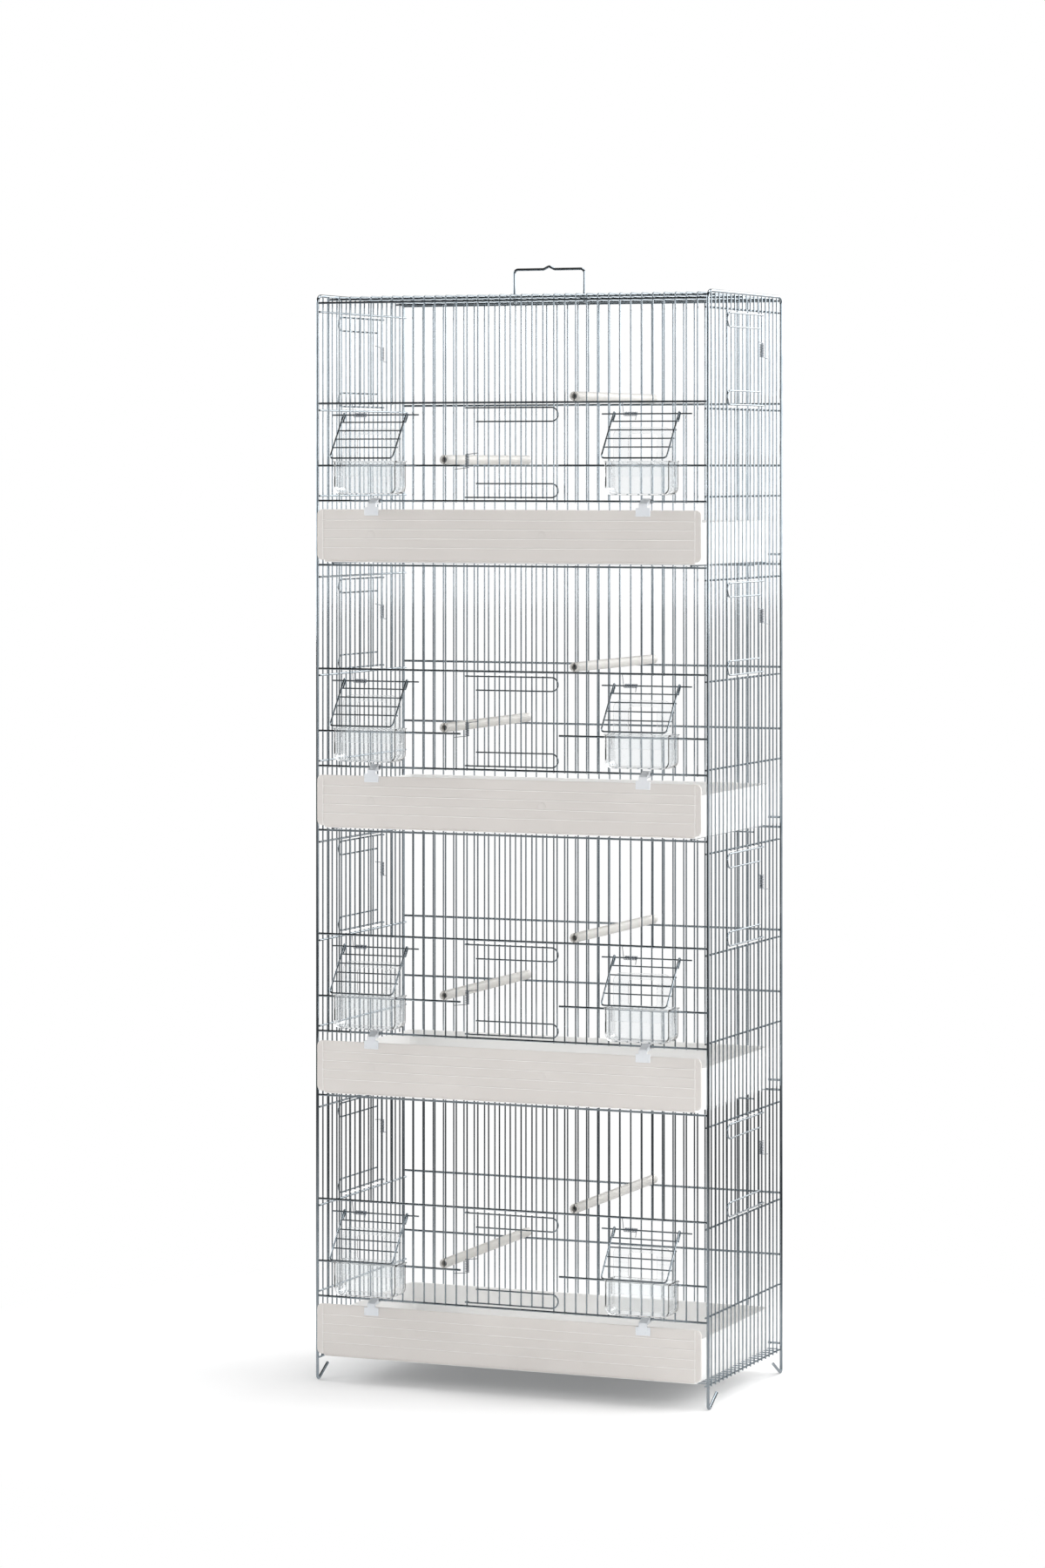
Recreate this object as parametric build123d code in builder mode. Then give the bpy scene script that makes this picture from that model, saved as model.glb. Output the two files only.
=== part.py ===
from build123d import *

import math
import os

# Four-tier breeding cage for small birds, in millimetres. The origin is on the floor at the
# centre of the four posts, +Z is up, the front faces -Y and the right side faces +X.

# Frame and tiers
cage_width = 550.0            # between post centres, across the front
cage_depth = 280.0            # between post centres, front to back
tier_count = 4
tier_pitch = 350.0            # one tier to the next
lowest_top_rail = 376.8       # top rail of the lowest tier, above the floor
frame_rise = 5.2              # bar over a side frame, above the highest top rail
frame_bend = 10.0             # corner bend of a side frame, on the wire's centre line
frame_leg = 4.0               # straight end below a corner bend
floor_rail_height = 30.5      # lowest side rail, above the floor

# Feet, bent from the lower ends of the posts
foot_height = 24.0            # where the bent foot starts
foot_bend = 4.0               # on the wire's centre line
foot_slope = 30.0             # degrees, rise of the toe
foot_toe = 30.0               # straight length of the toe

# Wire diameters
post_wire = 4.0
rail_wire = 2.8
side_rail_wire = 2.5
bar_wire = 2.0
runner_wire = 2.2
door_wire = 2.0
hinge_wire = 2.0
flap_frame_wire = 2.2
flap_cross_wire = 1.8
handle_wire = 3.5
spring_wire = 0.9

# Fits
weld_gap = 0.05               # wires that are welded where they cross
hinge_clearance = 0.3         # an eyelet round its hinge wire
running_clearance = 0.3       # pieces that slide, hook or rest on each other

# Bar spacing, in spaces between bars
front_gaps = 36               # from post to post, front and back
side_gaps = 19                # from post to post, each side
door_gaps = 8                 # across a front door
side_door_gaps = 9            # across a side door
feeder_gaps = 5               # across a feeder opening
feeder_start = 10             # from the middle of the front to a feeder opening
perch_gaps = 6                # from the middle of the front to a perch
bar_overhang = 2.0            # a bar's end, past the centre of the rail it is welded to

# Rails, below each tier's top rail
front_top_drop = 4.2          # highest front rail, below the height of its tier's top rail
mid_rail_drop = 137.0
flap_hinge_drop = 152.5
door_rail_drop = 219.0
lower_rail_drop = 265.3
side_top_drop = 16.0
side_mid_drop = 146.0
side_low_drop = 259.0
door_rail_gap = 8.4           # end of a door-level rail, outside a front door's last bar
double_rail_rise = 13.0       # second back rail at a tier joint, above the first
back_floor_rise = 9.0         # lowest back rail, above the lowest side rail
side_rail_overhang = 1.0      # side rails, past the centres of the posts

# Roof
roof_drop = 2.0               # roof wires, below the bar over a side frame
roof_bend = 3.0               # front end of a roof wire, on its centre line
roof_rail_gaps = 7.5          # outer roof rails, from the middle, in side bar spaces

# Shelves between the tiers
shelf_gaps = 2.5              # cross wire behind the middle, in side bar spaces
runner_gaps = 16.5            # runner wires, from the middle, in front bar spaces

# Trays
plate_side_gap = 5.0          # end of the plate, inside the centre of a post
plate_height = 66.5
plate_thickness = 3.0
plate_corner = 7.0
plate_stand_off = 7.6         # back of the plate, in front of the rails
plate_lift = 3.0              # lower edge of the plate, above the underside of the pan
pan_inset = 8.0               # side of the pan, inside the end of the plate
pan_height = 54.0
pan_wall = 2.0
pan_corner = 12.0
pan_back_gap = 2.5            # to the back bars
rib_height = 0.6              # raised ribs on the plate
rib_width = 1.6
rib_count = 4
rib_pitch = 12.1
rib_rise = 1.2                # middle of the ribs, above the middle of the plate
rib_stud = 3.0                # round stud where a rib meets an upright end rib
end_rib_inset = 8.5           # upright end ribs, from the ends of the plate
end_rib_margin = 1.0          # upright end ribs, short of the plate's edges

# Tray clips
clip_collar = 4.2             # outside radius round the lower rail
clip_neck_width = 11.5
clip_tab_width = 20.0
clip_tab_height = 11.0
clip_tab_thickness = 2.2
clip_tab_drop = 8.2           # top of the tab, below the rail's centre
clip_shoulder = 5.2           # outer edge of the neck, above the tab
clip_step = 2.6               # inner edge of the neck, above the tab

# Feeders
feeder_width = 88.0
feeder_depth = 33.5
feeder_rim_drop = 213.0
feeder_bottom_drop = 257.0
feeder_corner = 10.0
feeder_wall = 1.5
feeder_lip = 2.0              # rim, outside the walls
guard_width = 81.0
guard_top_drop = 170.0
guard_corner = 12.0
guard_foot = 20.0             # lower edge of the guard, below the rim
arch_width = 39.0
arch_drop = 8.0               # top of the guard's opening, below the top of the guard
arch_corner = 6.0
hook_width = 8.0
hook_thickness = 1.6
hook_depth = 5.5              # lip behind the rail

# Feeder flaps
flap_width = 92.0             # over the outside of the frame
flap_length = 74.0            # hinge to the bottom bar, along the flap
flap_tilt = 38.0              # degrees, how far the flap stands off the front at rest
flap_corner = 5.0             # on the wire's centre line
flap_cross_count = 4
flap_cross_first = 12.6       # from the hinge
flap_cross_pitch = 14.03
flap_cross_overhang = 1.0
flap_hinge_half = 62.0        # hinge wire, to each side of the flap's middle
flap_tail = 9.5               # straight end of a leg, past its turn round the hinge wire

# Doors, heights below the rail over each door
door_upper_drop = 6.7         # upper line of the upper loop
door_lower_drop = 123.6       # lower line of the lower loop
door_loop_height = 18.0       # between the two lines of a loop
door_reach = 6.9              # a loop's round end, past the stop bar
side_door_upper_drop = 5.0
side_door_lower_drop = 124.0
side_door_reach = 4.5
door_bar_overhang = 1.5
eyelet_turn = 240.0           # degrees that an eyelet goes round its hinge bar

# Springs
spring_turns = 5
spring_length = 17.5
spring_radius = 2.45          # on the wire's centre line
spring_leg = 17.0
flap_spring_up = 15.0         # leg over the mid rail
flap_spring_down = 11.5       # leg along the flap
flap_spring_offset = 31.0     # start of the coil, left of the flap's middle
door_spring_drop = 85.0       # lower end of the coil, below the mid rail
side_spring_drop = 60.0       # lower end of the coil, below the rail over a side door

# Perches
perch_diameter = 12.4
perch_bore = 7.6
perch_overhang = 3.5          # in front of the rails' centres

# Carry handle
handle_width = 100.0          # between the legs' centre lines
handle_height = 40.3          # grip above the rail it turns on
handle_corner = 5.0
handle_peak = 4.0             # small rise in the middle of the grip
handle_peak_half = 8.0
handle_peak_bend = 4.0

# Places worked out from the driving dimensions
post_x = cage_width / 2
post_y = cage_depth / 2
tier_tops = [lowest_top_rail + tier_pitch * n for n in reversed(range(tier_count))]
frame_top = tier_tops[0] + frame_rise
roof_height = frame_top - roof_drop
side_plane = post_x - post_wire / 2
side_bar_x = side_plane + bar_wire / 2
side_rail_x = side_plane - weld_gap - side_rail_wire / 2
rail_end = side_plane - weld_gap
rail_y = post_y
bar_y = rail_y - (rail_wire + bar_wire) / 2 - weld_gap
hinge_y = bar_y + (bar_wire + hinge_wire) / 2 + weld_gap
rail_front = rail_y + rail_wire / 2

front_pitch = cage_width / front_gaps
side_pitch = cage_depth / side_gaps
door_half = front_pitch * door_gaps / 2
side_door_half = side_pitch * side_door_gaps / 2
feeder_x = front_pitch * (feeder_start + feeder_gaps / 2)
perch_x = front_pitch * perch_gaps

front_bars = [front_pitch * n - post_x for n in range(1, front_gaps)]
side_bars = [side_pitch * n - post_y for n in range(1, side_gaps)]
on_door = [x for x in front_bars if abs(x) < door_half - front_pitch / 2]
feeder_reach = front_pitch * (feeder_gaps - 1) / 2
on_feeder = [x for x in front_bars if abs(abs(x) - feeder_x) < feeder_reach]
full_bars = [x for x in front_bars if x not in on_door and x not in on_feeder]
by_side_door = [y for y in side_bars if abs(y) < side_door_half - side_pitch / 2]
full_side_bars = [y for y in side_bars if y not in by_side_door]

runner_rise = (rail_wire + runner_wire) / 2 + weld_gap
grille_height = floor_rail_height + (side_rail_wire + bar_wire) / 2 + weld_gap
roof_rail_height = roof_height - (bar_wire + side_rail_wire) / 2 - weld_gap
plate_width = cage_width - 2 * plate_side_gap
plate_front = rail_front + plate_stand_off + plate_thickness
pan_width = plate_width - 2 * pan_inset
rib_length = plate_width - 2 * end_rib_inset

flap_angle = math.radians(flap_tilt)
flap_eyelet = (hinge_wire + flap_frame_wire) / 2 + hinge_clearance
door_eyelet = (bar_wire + door_wire) / 2 + hinge_clearance
cross_offset = flap_eyelet - (flap_frame_wire + flap_cross_wire) / 2 - weld_gap

os.makedirs("parts", exist_ok=True)


def save(piece, name):
    """Labels a finished piece and writes it under its name."""
    piece.part.label = name
    export_step(piece.part, f"parts/{name}.step")


def upright_wires(spots, bottom, top, diameter):
    """Adds upright wires at (x, y) spots to the piece being built."""
    with BuildSketch(Plane.XY.offset(bottom)) as sections:
        with Locations(*spots):
            Circle(diameter / 2)
    extrude(sections.sketch, amount=top - bottom)


def cross_wires(spots, left, right, diameter):
    """Adds wires that run across the cage at (y, z) spots to the piece being built."""
    with BuildSketch(Plane.YZ.offset(left)) as sections:
        with Locations(*spots):
            Circle(diameter / 2)
    extrude(sections.sketch, amount=right - left)


def depth_wires(spots, front, back, diameter):
    """Adds wires that run front to back at (x, z) spots to the piece being built."""
    with BuildSketch(Plane.XZ.offset(-back)) as sections:
        with Locations(*spots):
            Circle(diameter / 2)
    extrude(sections.sketch, amount=back - front)


def round_wire(path, diameter):
    """Adds one bent wire along a path to the piece being built."""
    with BuildSketch(Plane(origin=path @ 0, z_dir=path % 0)) as section:
        Circle(diameter / 2)
    sweep(section.sketch, path=path)


def biarc(start, start_way, end, end_way):
    """Draws two arcs from start to end that leave and arrive along the given directions."""
    span = end - start
    ways = start_way + end_way
    square = 2 * (1 - start_way.dot(end_way))
    along = span.dot(ways)
    reach = (math.sqrt(along**2 + square * span.dot(span)) - along) / square
    first = start + start_way * reach
    second = end - end_way * reach
    middle = (first + second) / 2
    TangentArc(start, middle, tangent=start_way)
    TangentArc(middle, end, tangent=second - first)


def coil_line(turn, length, first_leg, last_leg):
    """Draws a torsion spring about the Z axis: a leg, a coil of quarter turns and a leg.

    The coil starts on the -Y side, where the first leg arrives along +X, climbs by length
    and leaves for the last leg when it has gone round by turn degrees.
    """
    steps = round(turn / 90)
    climb = length / math.radians(turn)
    points = []
    ways = []
    for n in range(steps + 1):
        angle = math.radians(turn * n / steps - 90)
        points.append(
            Vector(
                spring_radius * math.cos(angle),
                spring_radius * math.sin(angle),
                length * n / steps,
            )
        )
        way = Vector(-spring_radius * math.sin(angle), spring_radius * math.cos(angle), climb)
        ways.append(way.normalized())
    Line(points[0] - ways[0] * first_leg, points[0])
    for n in range(steps):
        biarc(points[n], ways[n], points[n + 1], ways[n + 1])
    Line(points[-1], points[-1] + ways[-1] * last_leg)


def least_gap(path, diameter):
    """Returns the least space between turns of a wound wire, measured on points along it."""
    count = 360
    spots = [path @ (n / count) for n in range(count + 1)]
    near = math.ceil(count * math.pi * spring_radius / path.length)
    nearest = path.length
    for n in range(count + 1):
        for later in range(n + near, count + 1):
            nearest = min(nearest, (spots[later] - spots[n]).length)
    return nearest - diameter


# Side frames: two posts with bent feet, and a bar over the top with round corners.
leg_top = frame_top - frame_bend - frame_leg
heel_height = foot_bend + post_wire / 2
with BuildPart() as side_frame_right:
    upright_wires([(post_x, -post_y)], foot_height + weld_gap, leg_top - weld_gap, post_wire)
    with BuildLine(Plane.YZ.offset(post_x)) as foot_line:
        Line((-post_y, foot_height), (-post_y, heel_height))
        sole = CenterArc((foot_bend - post_y, heel_height), foot_bend, 180, 90 + foot_slope)
        PolarLine(sole @ 1, foot_toe, foot_slope)
    round_wire(foot_line.wire(), post_wire)
    mirror(about=Plane.XZ)
    with BuildLine(Plane.YZ.offset(post_x)) as top_line:
        FilletPolyline(
            (-post_y, leg_top),
            (-post_y, frame_top),
            (post_y, frame_top),
            (post_y, leg_top),
            radius=frame_bend,
        )
    round_wire(top_line.wire(), post_wire)
save(side_frame_right, "side_frame_right")

with BuildPart() as side_frame_left:
    mirror(side_frame_right.part, about=Plane.YZ)
save(side_frame_left, "side_frame_left")


# Side grilles: bars outside, rails inside, with an opening for a door at each tier.
with BuildPart() as side_grille_right:
    lowest = floor_rail_height - bar_overhang
    highest = frame_top - post_wire / 2 - weld_gap
    upright_wires([(side_bar_x, y) for y in full_side_bars], lowest, highest, bar_wire)
    over_doors = [top - side_top_drop - bar_overhang for top in tier_tops]
    under_doors = [top - side_mid_drop + bar_overhang for top in tier_tops]
    for bottom, top in zip(over_doors + [lowest], [highest] + under_doors):
        upright_wires([(side_bar_x, y) for y in by_side_door], bottom, top, bar_wire)
    side_heights = [floor_rail_height]
    for top in tier_tops:
        side_heights += [top - drop for drop in (side_top_drop, side_mid_drop, side_low_drop)]
    side_rail_end = post_y + side_rail_overhang
    side_spots = [(side_rail_x, height) for height in side_heights]
    depth_wires(side_spots, -side_rail_end, side_rail_end, side_rail_wire)
save(side_grille_right, "side_grille_right")

with BuildPart() as side_grille_left:
    mirror(side_grille_right.part, about=Plane.YZ)
save(side_grille_left, "side_grille_left")


# Front grilles: rails outside, bars inside, with openings for a door and two feeders.
for tier, top in enumerate(tier_tops, start=1):
    bar_top = top + bar_overhang
    top_drop = 0
    if tier == 1:
        bar_top = roof_height - roof_bend - weld_gap
        top_drop = front_top_drop
    bar_bottom = top - lower_rail_drop - bar_overhang
    with BuildPart() as front_grille:
        upright_wires([(x, -bar_y) for x in full_bars], bar_bottom, bar_top, bar_wire)
        mid_end = top - mid_rail_drop - bar_overhang
        upright_wires([(x, -bar_y) for x in on_door + on_feeder], mid_end, bar_top, bar_wire)
        low_end = top - door_rail_drop + bar_overhang
        upright_wires([(x, -bar_y) for x in on_feeder], bar_bottom, low_end, bar_wire)
        rail_drops = (top_drop, mid_rail_drop, lower_rail_drop)
        whole_rails = [(-rail_y, top - drop) for drop in rail_drops]
        cross_wires(whole_rails, -rail_end, rail_end, rail_wire)
        door_rail = (-rail_y, top - door_rail_drop)
        cross_wires([door_rail], -rail_end, -door_half - door_rail_gap, rail_wire)
        cross_wires([door_rail], door_half + door_rail_gap, rail_end, rail_wire)
        hinge_line = (-hinge_y, top - flap_hinge_drop)
        for middle in (-feeder_x, feeder_x):
            start = middle - flap_hinge_half
            cross_wires([hinge_line], start, middle + flap_hinge_half, hinge_wire)
    save(front_grille, f"front_grille_tier_{tier}")


# Back grille: bars of the full height inside, rails outside.
with BuildPart() as back_grille:
    back_floor_rail = floor_rail_height + back_floor_rise
    back_top = roof_height - bar_wire / 2 - weld_gap
    back_bottom = back_floor_rail - bar_overhang
    upright_wires([(x, bar_y) for x in front_bars], back_bottom, back_top, bar_wire)
    back_heights = [back_floor_rail]
    for top in tier_tops:
        back_heights += [top - drop for drop in (0, mid_rail_drop, door_rail_drop)]
    back_heights += [top + double_rail_rise for top in tier_tops[1:]]
    back_spots = [(rail_y, height) for height in back_heights]
    cross_wires(back_spots, -rail_end, rail_end, rail_wire)
save(back_grille, "back_grille")


# Roof grille: wires that carry on from the front bars round a bend, on three cross rails.
with BuildPart() as roof_grille:
    bend_height = roof_height - roof_bend
    with BuildSketch(Plane.XY.offset(bend_height)) as bend_starts:
        with Locations(*[(x, -bar_y) for x in front_bars]):
            Circle(bar_wire / 2)
    bend_axis = Axis((0, roof_bend - bar_y, bend_height), (-1, 0, 0))
    revolve(bend_starts.sketch, axis=bend_axis, revolution_arc=90)
    roof_spots = [(x, roof_height) for x in front_bars]
    depth_wires(roof_spots, roof_bend - bar_y, bar_y + bar_wire / 2, bar_wire)
    outer_rail = roof_rail_gaps * side_pitch
    roof_rails = [(y, roof_rail_height) for y in (-outer_rail, 0, outer_rail)]
    cross_wires(roof_rails, -rail_end, rail_end, side_rail_wire)
save(roof_grille, "roof_grille")


# Shelves: two runner wires and a cross wire under each tray but the lowest.
runner_x = runner_gaps * front_pitch
shelf_y = shelf_gaps * side_pitch
shelf_drop = (runner_wire + bar_wire) / 2 + weld_gap
for tier, level in enumerate(tier_tops[1:], start=1):
    runner_height = level + runner_rise
    with BuildPart() as shelf:
        runner_end = rail_y + rail_wire / 2
        runners = [(-runner_x, runner_height), (runner_x, runner_height)]
        depth_wires(runners, -runner_end, runner_end, runner_wire)
        cross_wires([(shelf_y, runner_height - shelf_drop)], -rail_end, rail_end, bar_wire)
    save(shelf, f"shelf_tier_{tier}")


# Bottom grille: cross wires on the lowest side rails.
with BuildPart() as bottom_grille:
    rows = [side_pitch * (n + 0.5) - post_y for n in range(side_gaps)]
    cross_wires([(y, grille_height) for y in rows], -rail_end, rail_end, bar_wire)
save(bottom_grille, "bottom_grille")


def perches(x, rail_drop):
    """Builds a hollow perch a tier, slotted over the bars at x and resting on the rails."""
    half = rail_y + perch_overhang
    slot_start = bar_y - bar_wire / 2 - running_clearance
    slot_middle = (half + slot_start) / 2
    rise = rail_wire / 2 + weld_gap + perch_diameter / 2
    heights = [top - rail_drop + rise for top in tier_tops]
    with BuildPart() as tubes:
        with BuildSketch(Plane.XZ.offset(-half)):
            with Locations(*[(x, height) for height in heights]):
                Circle(perch_diameter / 2)
                Circle(perch_bore / 2, mode=Mode.SUBTRACT)
        extrude(amount=2 * half)
        slots = [(x, end * slot_middle, height) for end in (-1, 1) for height in heights]
        with Locations(*slots):
            slot_width = bar_wire + 2 * running_clearance
            Box(slot_width, half - slot_start, perch_diameter, mode=Mode.SUBTRACT)
    return tubes


save(perches(perch_x, mid_rail_drop), "upper_perches")
save(perches(-perch_x, door_rail_drop), "lower_perches")


# Tray, with the middle of the pan's underside at the height of the origin.
with BuildPart() as tray_shape:
    plate_back = rail_front + plate_stand_off
    pan_back = bar_y - bar_wire / 2 - pan_back_gap
    with BuildSketch():
        with Locations((0, (pan_back - plate_back) / 2)):
            pan = Rectangle(pan_width, pan_back + plate_back)
        fillet(pan.vertices().group_by(Axis.Y)[-1], pan_corner)
    extrude(amount=pan_height)
    offset(amount=-pan_wall, openings=tray_shape.faces().sort_by(Axis.Z)[-1])
    plate_middle = plate_lift + plate_height / 2
    with BuildSketch(Plane.XZ.offset(plate_back)):
        with Locations((0, plate_middle)):
            RectangleRounded(plate_width, plate_height, plate_corner)
    extrude(amount=plate_thickness)
    with BuildSketch(Plane.XZ.offset(plate_front)):
        with Locations((0, plate_middle + rib_rise)):
            with GridLocations(0, rib_pitch, 1, rib_count):
                Rectangle(rib_length, rib_width)
            with GridLocations(rib_length, rib_pitch, 2, rib_count):
                Circle(rib_stud / 2)
        with Locations((0, plate_middle)):
            with GridLocations(rib_length, 0, 2, 1):
                Rectangle(rib_width, plate_height - 2 * end_rib_margin)
    extrude(amount=rib_height)

pan_bottoms = [level + runner_rise + runner_wire / 2 for level in tier_tops[1:]]
pan_bottoms.append(grille_height + bar_wire / 2)
for tier, seat in enumerate(pan_bottoms, start=1):
    with BuildPart() as tray:
        with Locations((0, 0, seat + running_clearance)):
            add(tray_shape.part)
    save(tray, f"tray_tier_{tier}")


# Tray clip about the lower rail it turns on: a collar open at the back, and a tab that
# hangs in front of the tray's plate.
with BuildPart() as clip_shape:
    tab_back = plate_front + running_clearance - rail_y
    tab_front = tab_back + clip_tab_thickness
    with BuildSketch(Plane.YZ.offset(-clip_neck_width / 2)):
        Circle(clip_collar)
        with BuildLine():
            Polyline(
                (0, clip_collar),
                (-tab_front, clip_shoulder - clip_tab_drop),
                (-tab_front, -clip_tab_drop),
                (-tab_back, -clip_tab_drop),
                (-tab_back, clip_step - clip_tab_drop),
                (0, -clip_collar),
                close=True,
            )
        make_face()
        Circle(rail_wire / 2 + running_clearance, mode=Mode.SUBTRACT)
        with Locations((clip_collar, 0)):
            mouth = rail_wire + 2 * running_clearance
            Rectangle(2 * clip_collar, mouth, mode=Mode.SUBTRACT)
    extrude(amount=clip_neck_width)
    with BuildSketch(Plane.XZ.offset(tab_back)):
        with Locations((0, -clip_tab_drop - clip_tab_height / 2)):
            Rectangle(clip_tab_width, clip_tab_height)
    extrude(amount=clip_tab_thickness)


# Feeder, with the tier's top rail at the height of the origin: a clear trough with a lip,
# an open guard that the flap rests on, and two hooks over the door-level rail.
second_cross = flap_cross_first + flap_cross_pitch
cross_reach = cross_offset * math.cos(flap_angle) + second_cross * math.sin(flap_angle)
guard_front = hinge_y + cross_reach - flap_cross_wire / 2 - running_clearance
with BuildPart() as feeder_shape:
    feeder_back = rail_front + running_clearance
    feeder_height = feeder_bottom_drop - feeder_rim_drop
    inner_width = feeder_width - 2 * feeder_wall
    with BuildSketch(Plane.XZ.offset(feeder_back)):
        with Locations((0, -feeder_rim_drop - feeder_height / 2)):
            face = Rectangle(feeder_width, feeder_height)
        fillet(face.vertices().group_by(Axis.Y)[0], feeder_corner)
    extrude(amount=feeder_depth)
    offset(amount=-feeder_wall, openings=feeder_shape.faces().sort_by(Axis.Z)[-1])
    with BuildSketch(Plane.XY.offset(-feeder_rim_drop - feeder_wall)):
        with Locations((0, -feeder_back - (feeder_depth + feeder_lip) / 2)):
            lip = Rectangle(feeder_width + 2 * feeder_lip, feeder_depth + feeder_lip)
        fillet(lip.vertices().group_by(Axis.Y)[0], 2 * feeder_lip)
        with Locations((0, -feeder_back - feeder_depth / 2)):
            Rectangle(inner_width, feeder_depth - 2 * feeder_wall, mode=Mode.SUBTRACT)
    extrude(amount=feeder_wall)
    with BuildSketch(Plane.XZ.offset(guard_front - feeder_wall)):
        guard_low = -feeder_rim_drop - guard_foot
        with Locations((0, (guard_low - guard_top_drop) / 2)):
            guard = Rectangle(guard_width, -guard_top_drop - guard_low)
        fillet(guard.vertices().group_by(Axis.Y)[-1], guard_corner)
        with Locations((0, guard_low + guard_foot / 2)):
            Rectangle(inner_width, guard_foot)
        arch_height = feeder_rim_drop - guard_top_drop - arch_drop
        corner = min(arch_corner, arch_height / 3)
        with Locations((0, arch_height / 2 - feeder_rim_drop)):
            RectangleRounded(arch_width, arch_height, corner, mode=Mode.SUBTRACT)
    extrude(amount=feeder_wall)
    hook_low = rail_wire / 2 + running_clearance - door_rail_drop
    hook_top = hook_low + hook_thickness
    hook_end = rail_y - rail_wire / 2 - running_clearance - hook_thickness
    for middle in (-front_pitch, front_pitch):
        with BuildSketch(Plane.YZ.offset(middle - hook_width / 2)) as hook:
            with Locations((-(feeder_back + hook_end) / 2, hook_low + hook_thickness / 2)):
                Rectangle(feeder_back - hook_end, hook_thickness)
            with Locations((-hook_end - hook_thickness / 2, hook_top - hook_depth / 2)):
                Rectangle(hook_thickness, hook_depth)
        extrude(amount=hook_width)


# Feeder flap about its hinge wire, which runs along X through the origin.
down = Vector(0, -math.sin(flap_angle), -math.cos(flap_angle))
outward = Vector(0, -math.cos(flap_angle), math.sin(flap_angle))


def eyelet(center, out, way, radius, turn):
    """Draws the curl at a wire's end: it starts at out from the center and heads along way.

    It goes round by turn degrees, and its end is returned.
    """
    spots = []
    for share in (0, 0.5, 1):
        angle = math.radians(turn * share)
        spots.append(center + (out * math.cos(angle) + way * math.sin(angle)) * radius)
    ThreePointArc(*spots)
    return spots[-1]


with BuildPart() as flap_shape:
    leg_x = (flap_width - flap_frame_wire) / 2
    flap_plane = Plane(outward * flap_eyelet, x_dir=(1, 0, 0), z_dir=-outward)
    with BuildLine(flap_plane) as flap_line:
        FilletPolyline(
            (-leg_x, 0),
            (-leg_x, flap_length),
            (leg_x, flap_length),
            (leg_x, 0),
            radius=flap_corner,
        )
        for x in (-leg_x, leg_x):
            tail = eyelet(Vector(x, 0, 0), outward, -down, flap_eyelet, 180)
            Line(tail, tail + down * flap_tail)
    round_wire(flap_line.wire(), flap_frame_wire)
    steps = [flap_cross_first + flap_cross_pitch * n for n in range(flap_cross_count)]
    spots = [outward * cross_offset + down * step for step in steps]
    cross_end = leg_x + flap_frame_wire / 2 + flap_cross_overhang
    cross_wires([(spot.Y, spot.Z) for spot in spots], -cross_end, cross_end, flap_cross_wire)


for tier, top in enumerate(tier_tops, start=1):
    for side, x in (("left", -feeder_x), ("right", feeder_x)):
        with BuildPart() as clip:
            with Locations((x, -rail_y, top - lower_rail_drop)):
                add(clip_shape.part)
        save(clip, f"tray_clip_{side}_tier_{tier}")
        with BuildPart() as feeder:
            with Locations((x, 0, top)):
                add(feeder_shape.part)
        save(feeder, f"feeder_{side}_tier_{tier}")
        with BuildPart() as feeder_flap:
            with Locations((x, -hinge_y, top - flap_hinge_drop)):
                add(flap_shape.part)
        save(feeder_flap, f"feeder_flap_{side}_tier_{tier}")


def wire_door(pitch, gaps, upper_drop, lower_drop, reach):
    """Builds a door about its hinge bar, which stands along Z through the origin.

    The door runs along +X, its outside faces -Y, and the rail over it is at the origin's
    height. Two loops with a round free end carry the bars, and each has an eyelet.
    """
    line_y = -door_eyelet
    bars_y = line_y + (door_wire + bar_wire) / 2 + weld_gap
    radius = door_loop_height / 2
    turn_x = pitch * gaps + reach - radius
    with BuildPart() as door:
        for outer, inward in ((-upper_drop, -1), (-lower_drop, 1)):
            inner = outer + inward * door_loop_height
            with BuildLine() as loop_line:
                hinge = Vector(0, 0, outer)
                eyelet(hinge, Vector(0, -1, 0), Vector(-1, 0, 0), door_eyelet, eyelet_turn)
                Line((0, line_y, outer), (turn_x, line_y, outer))
                ThreePointArc(
                    (turn_x, line_y, outer),
                    (turn_x + radius, line_y, outer + inward * radius),
                    (turn_x, line_y, inner),
                )
                Line((turn_x, line_y, inner), (pitch - door_bar_overhang, line_y, inner))
            round_wire(loop_line.wire(), door_wire)
        bars = [(pitch * n, bars_y) for n in range(1, gaps)]
        bars_low = -lower_drop - door_bar_overhang
        upright_wires(bars, bars_low, door_bar_overhang - upper_drop, bar_wire)
    return door.part


front_door_shape = wire_door(front_pitch, door_gaps, door_upper_drop, door_lower_drop, door_reach)
side_door_shape = wire_door(
    side_pitch,
    side_door_gaps,
    side_door_upper_drop,
    side_door_lower_drop,
    side_door_reach,
)
front_hinges = [Location((-door_half, -bar_y, top - mid_rail_drop)) for top in tier_tops]
left_hinges = [
    Location((-side_bar_x, side_door_half, top - side_top_drop), (0, 0, -90)) for top in tier_tops
]
for tier, hinge in enumerate(front_hinges, start=1):
    with BuildPart() as front_door:
        with Locations(hinge):
            add(front_door_shape)
    save(front_door, f"front_door_tier_{tier}")

for tier, hinge in enumerate(left_hinges, start=1):
    with BuildPart() as side_door_left:
        with Locations(hinge):
            add(side_door_shape)
    save(side_door_left, f"side_door_left_tier_{tier}")
    with BuildPart() as side_door_right:
        mirror(side_door_left.part, about=Plane.YZ)
    save(side_door_right, f"side_door_right_tier_{tier}")


# Torsion springs on the hinge bars of the doors and on the hinge wires of the flaps.
with BuildPart() as door_spring:
    with BuildLine() as door_coil:
        coil_line(360 * spring_turns, spring_length, spring_leg, spring_leg)
    round_wire(door_coil.wire(), spring_wire)
print("door spring, least gap between turns:", least_gap(door_coil.wire(), spring_wire))

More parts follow.
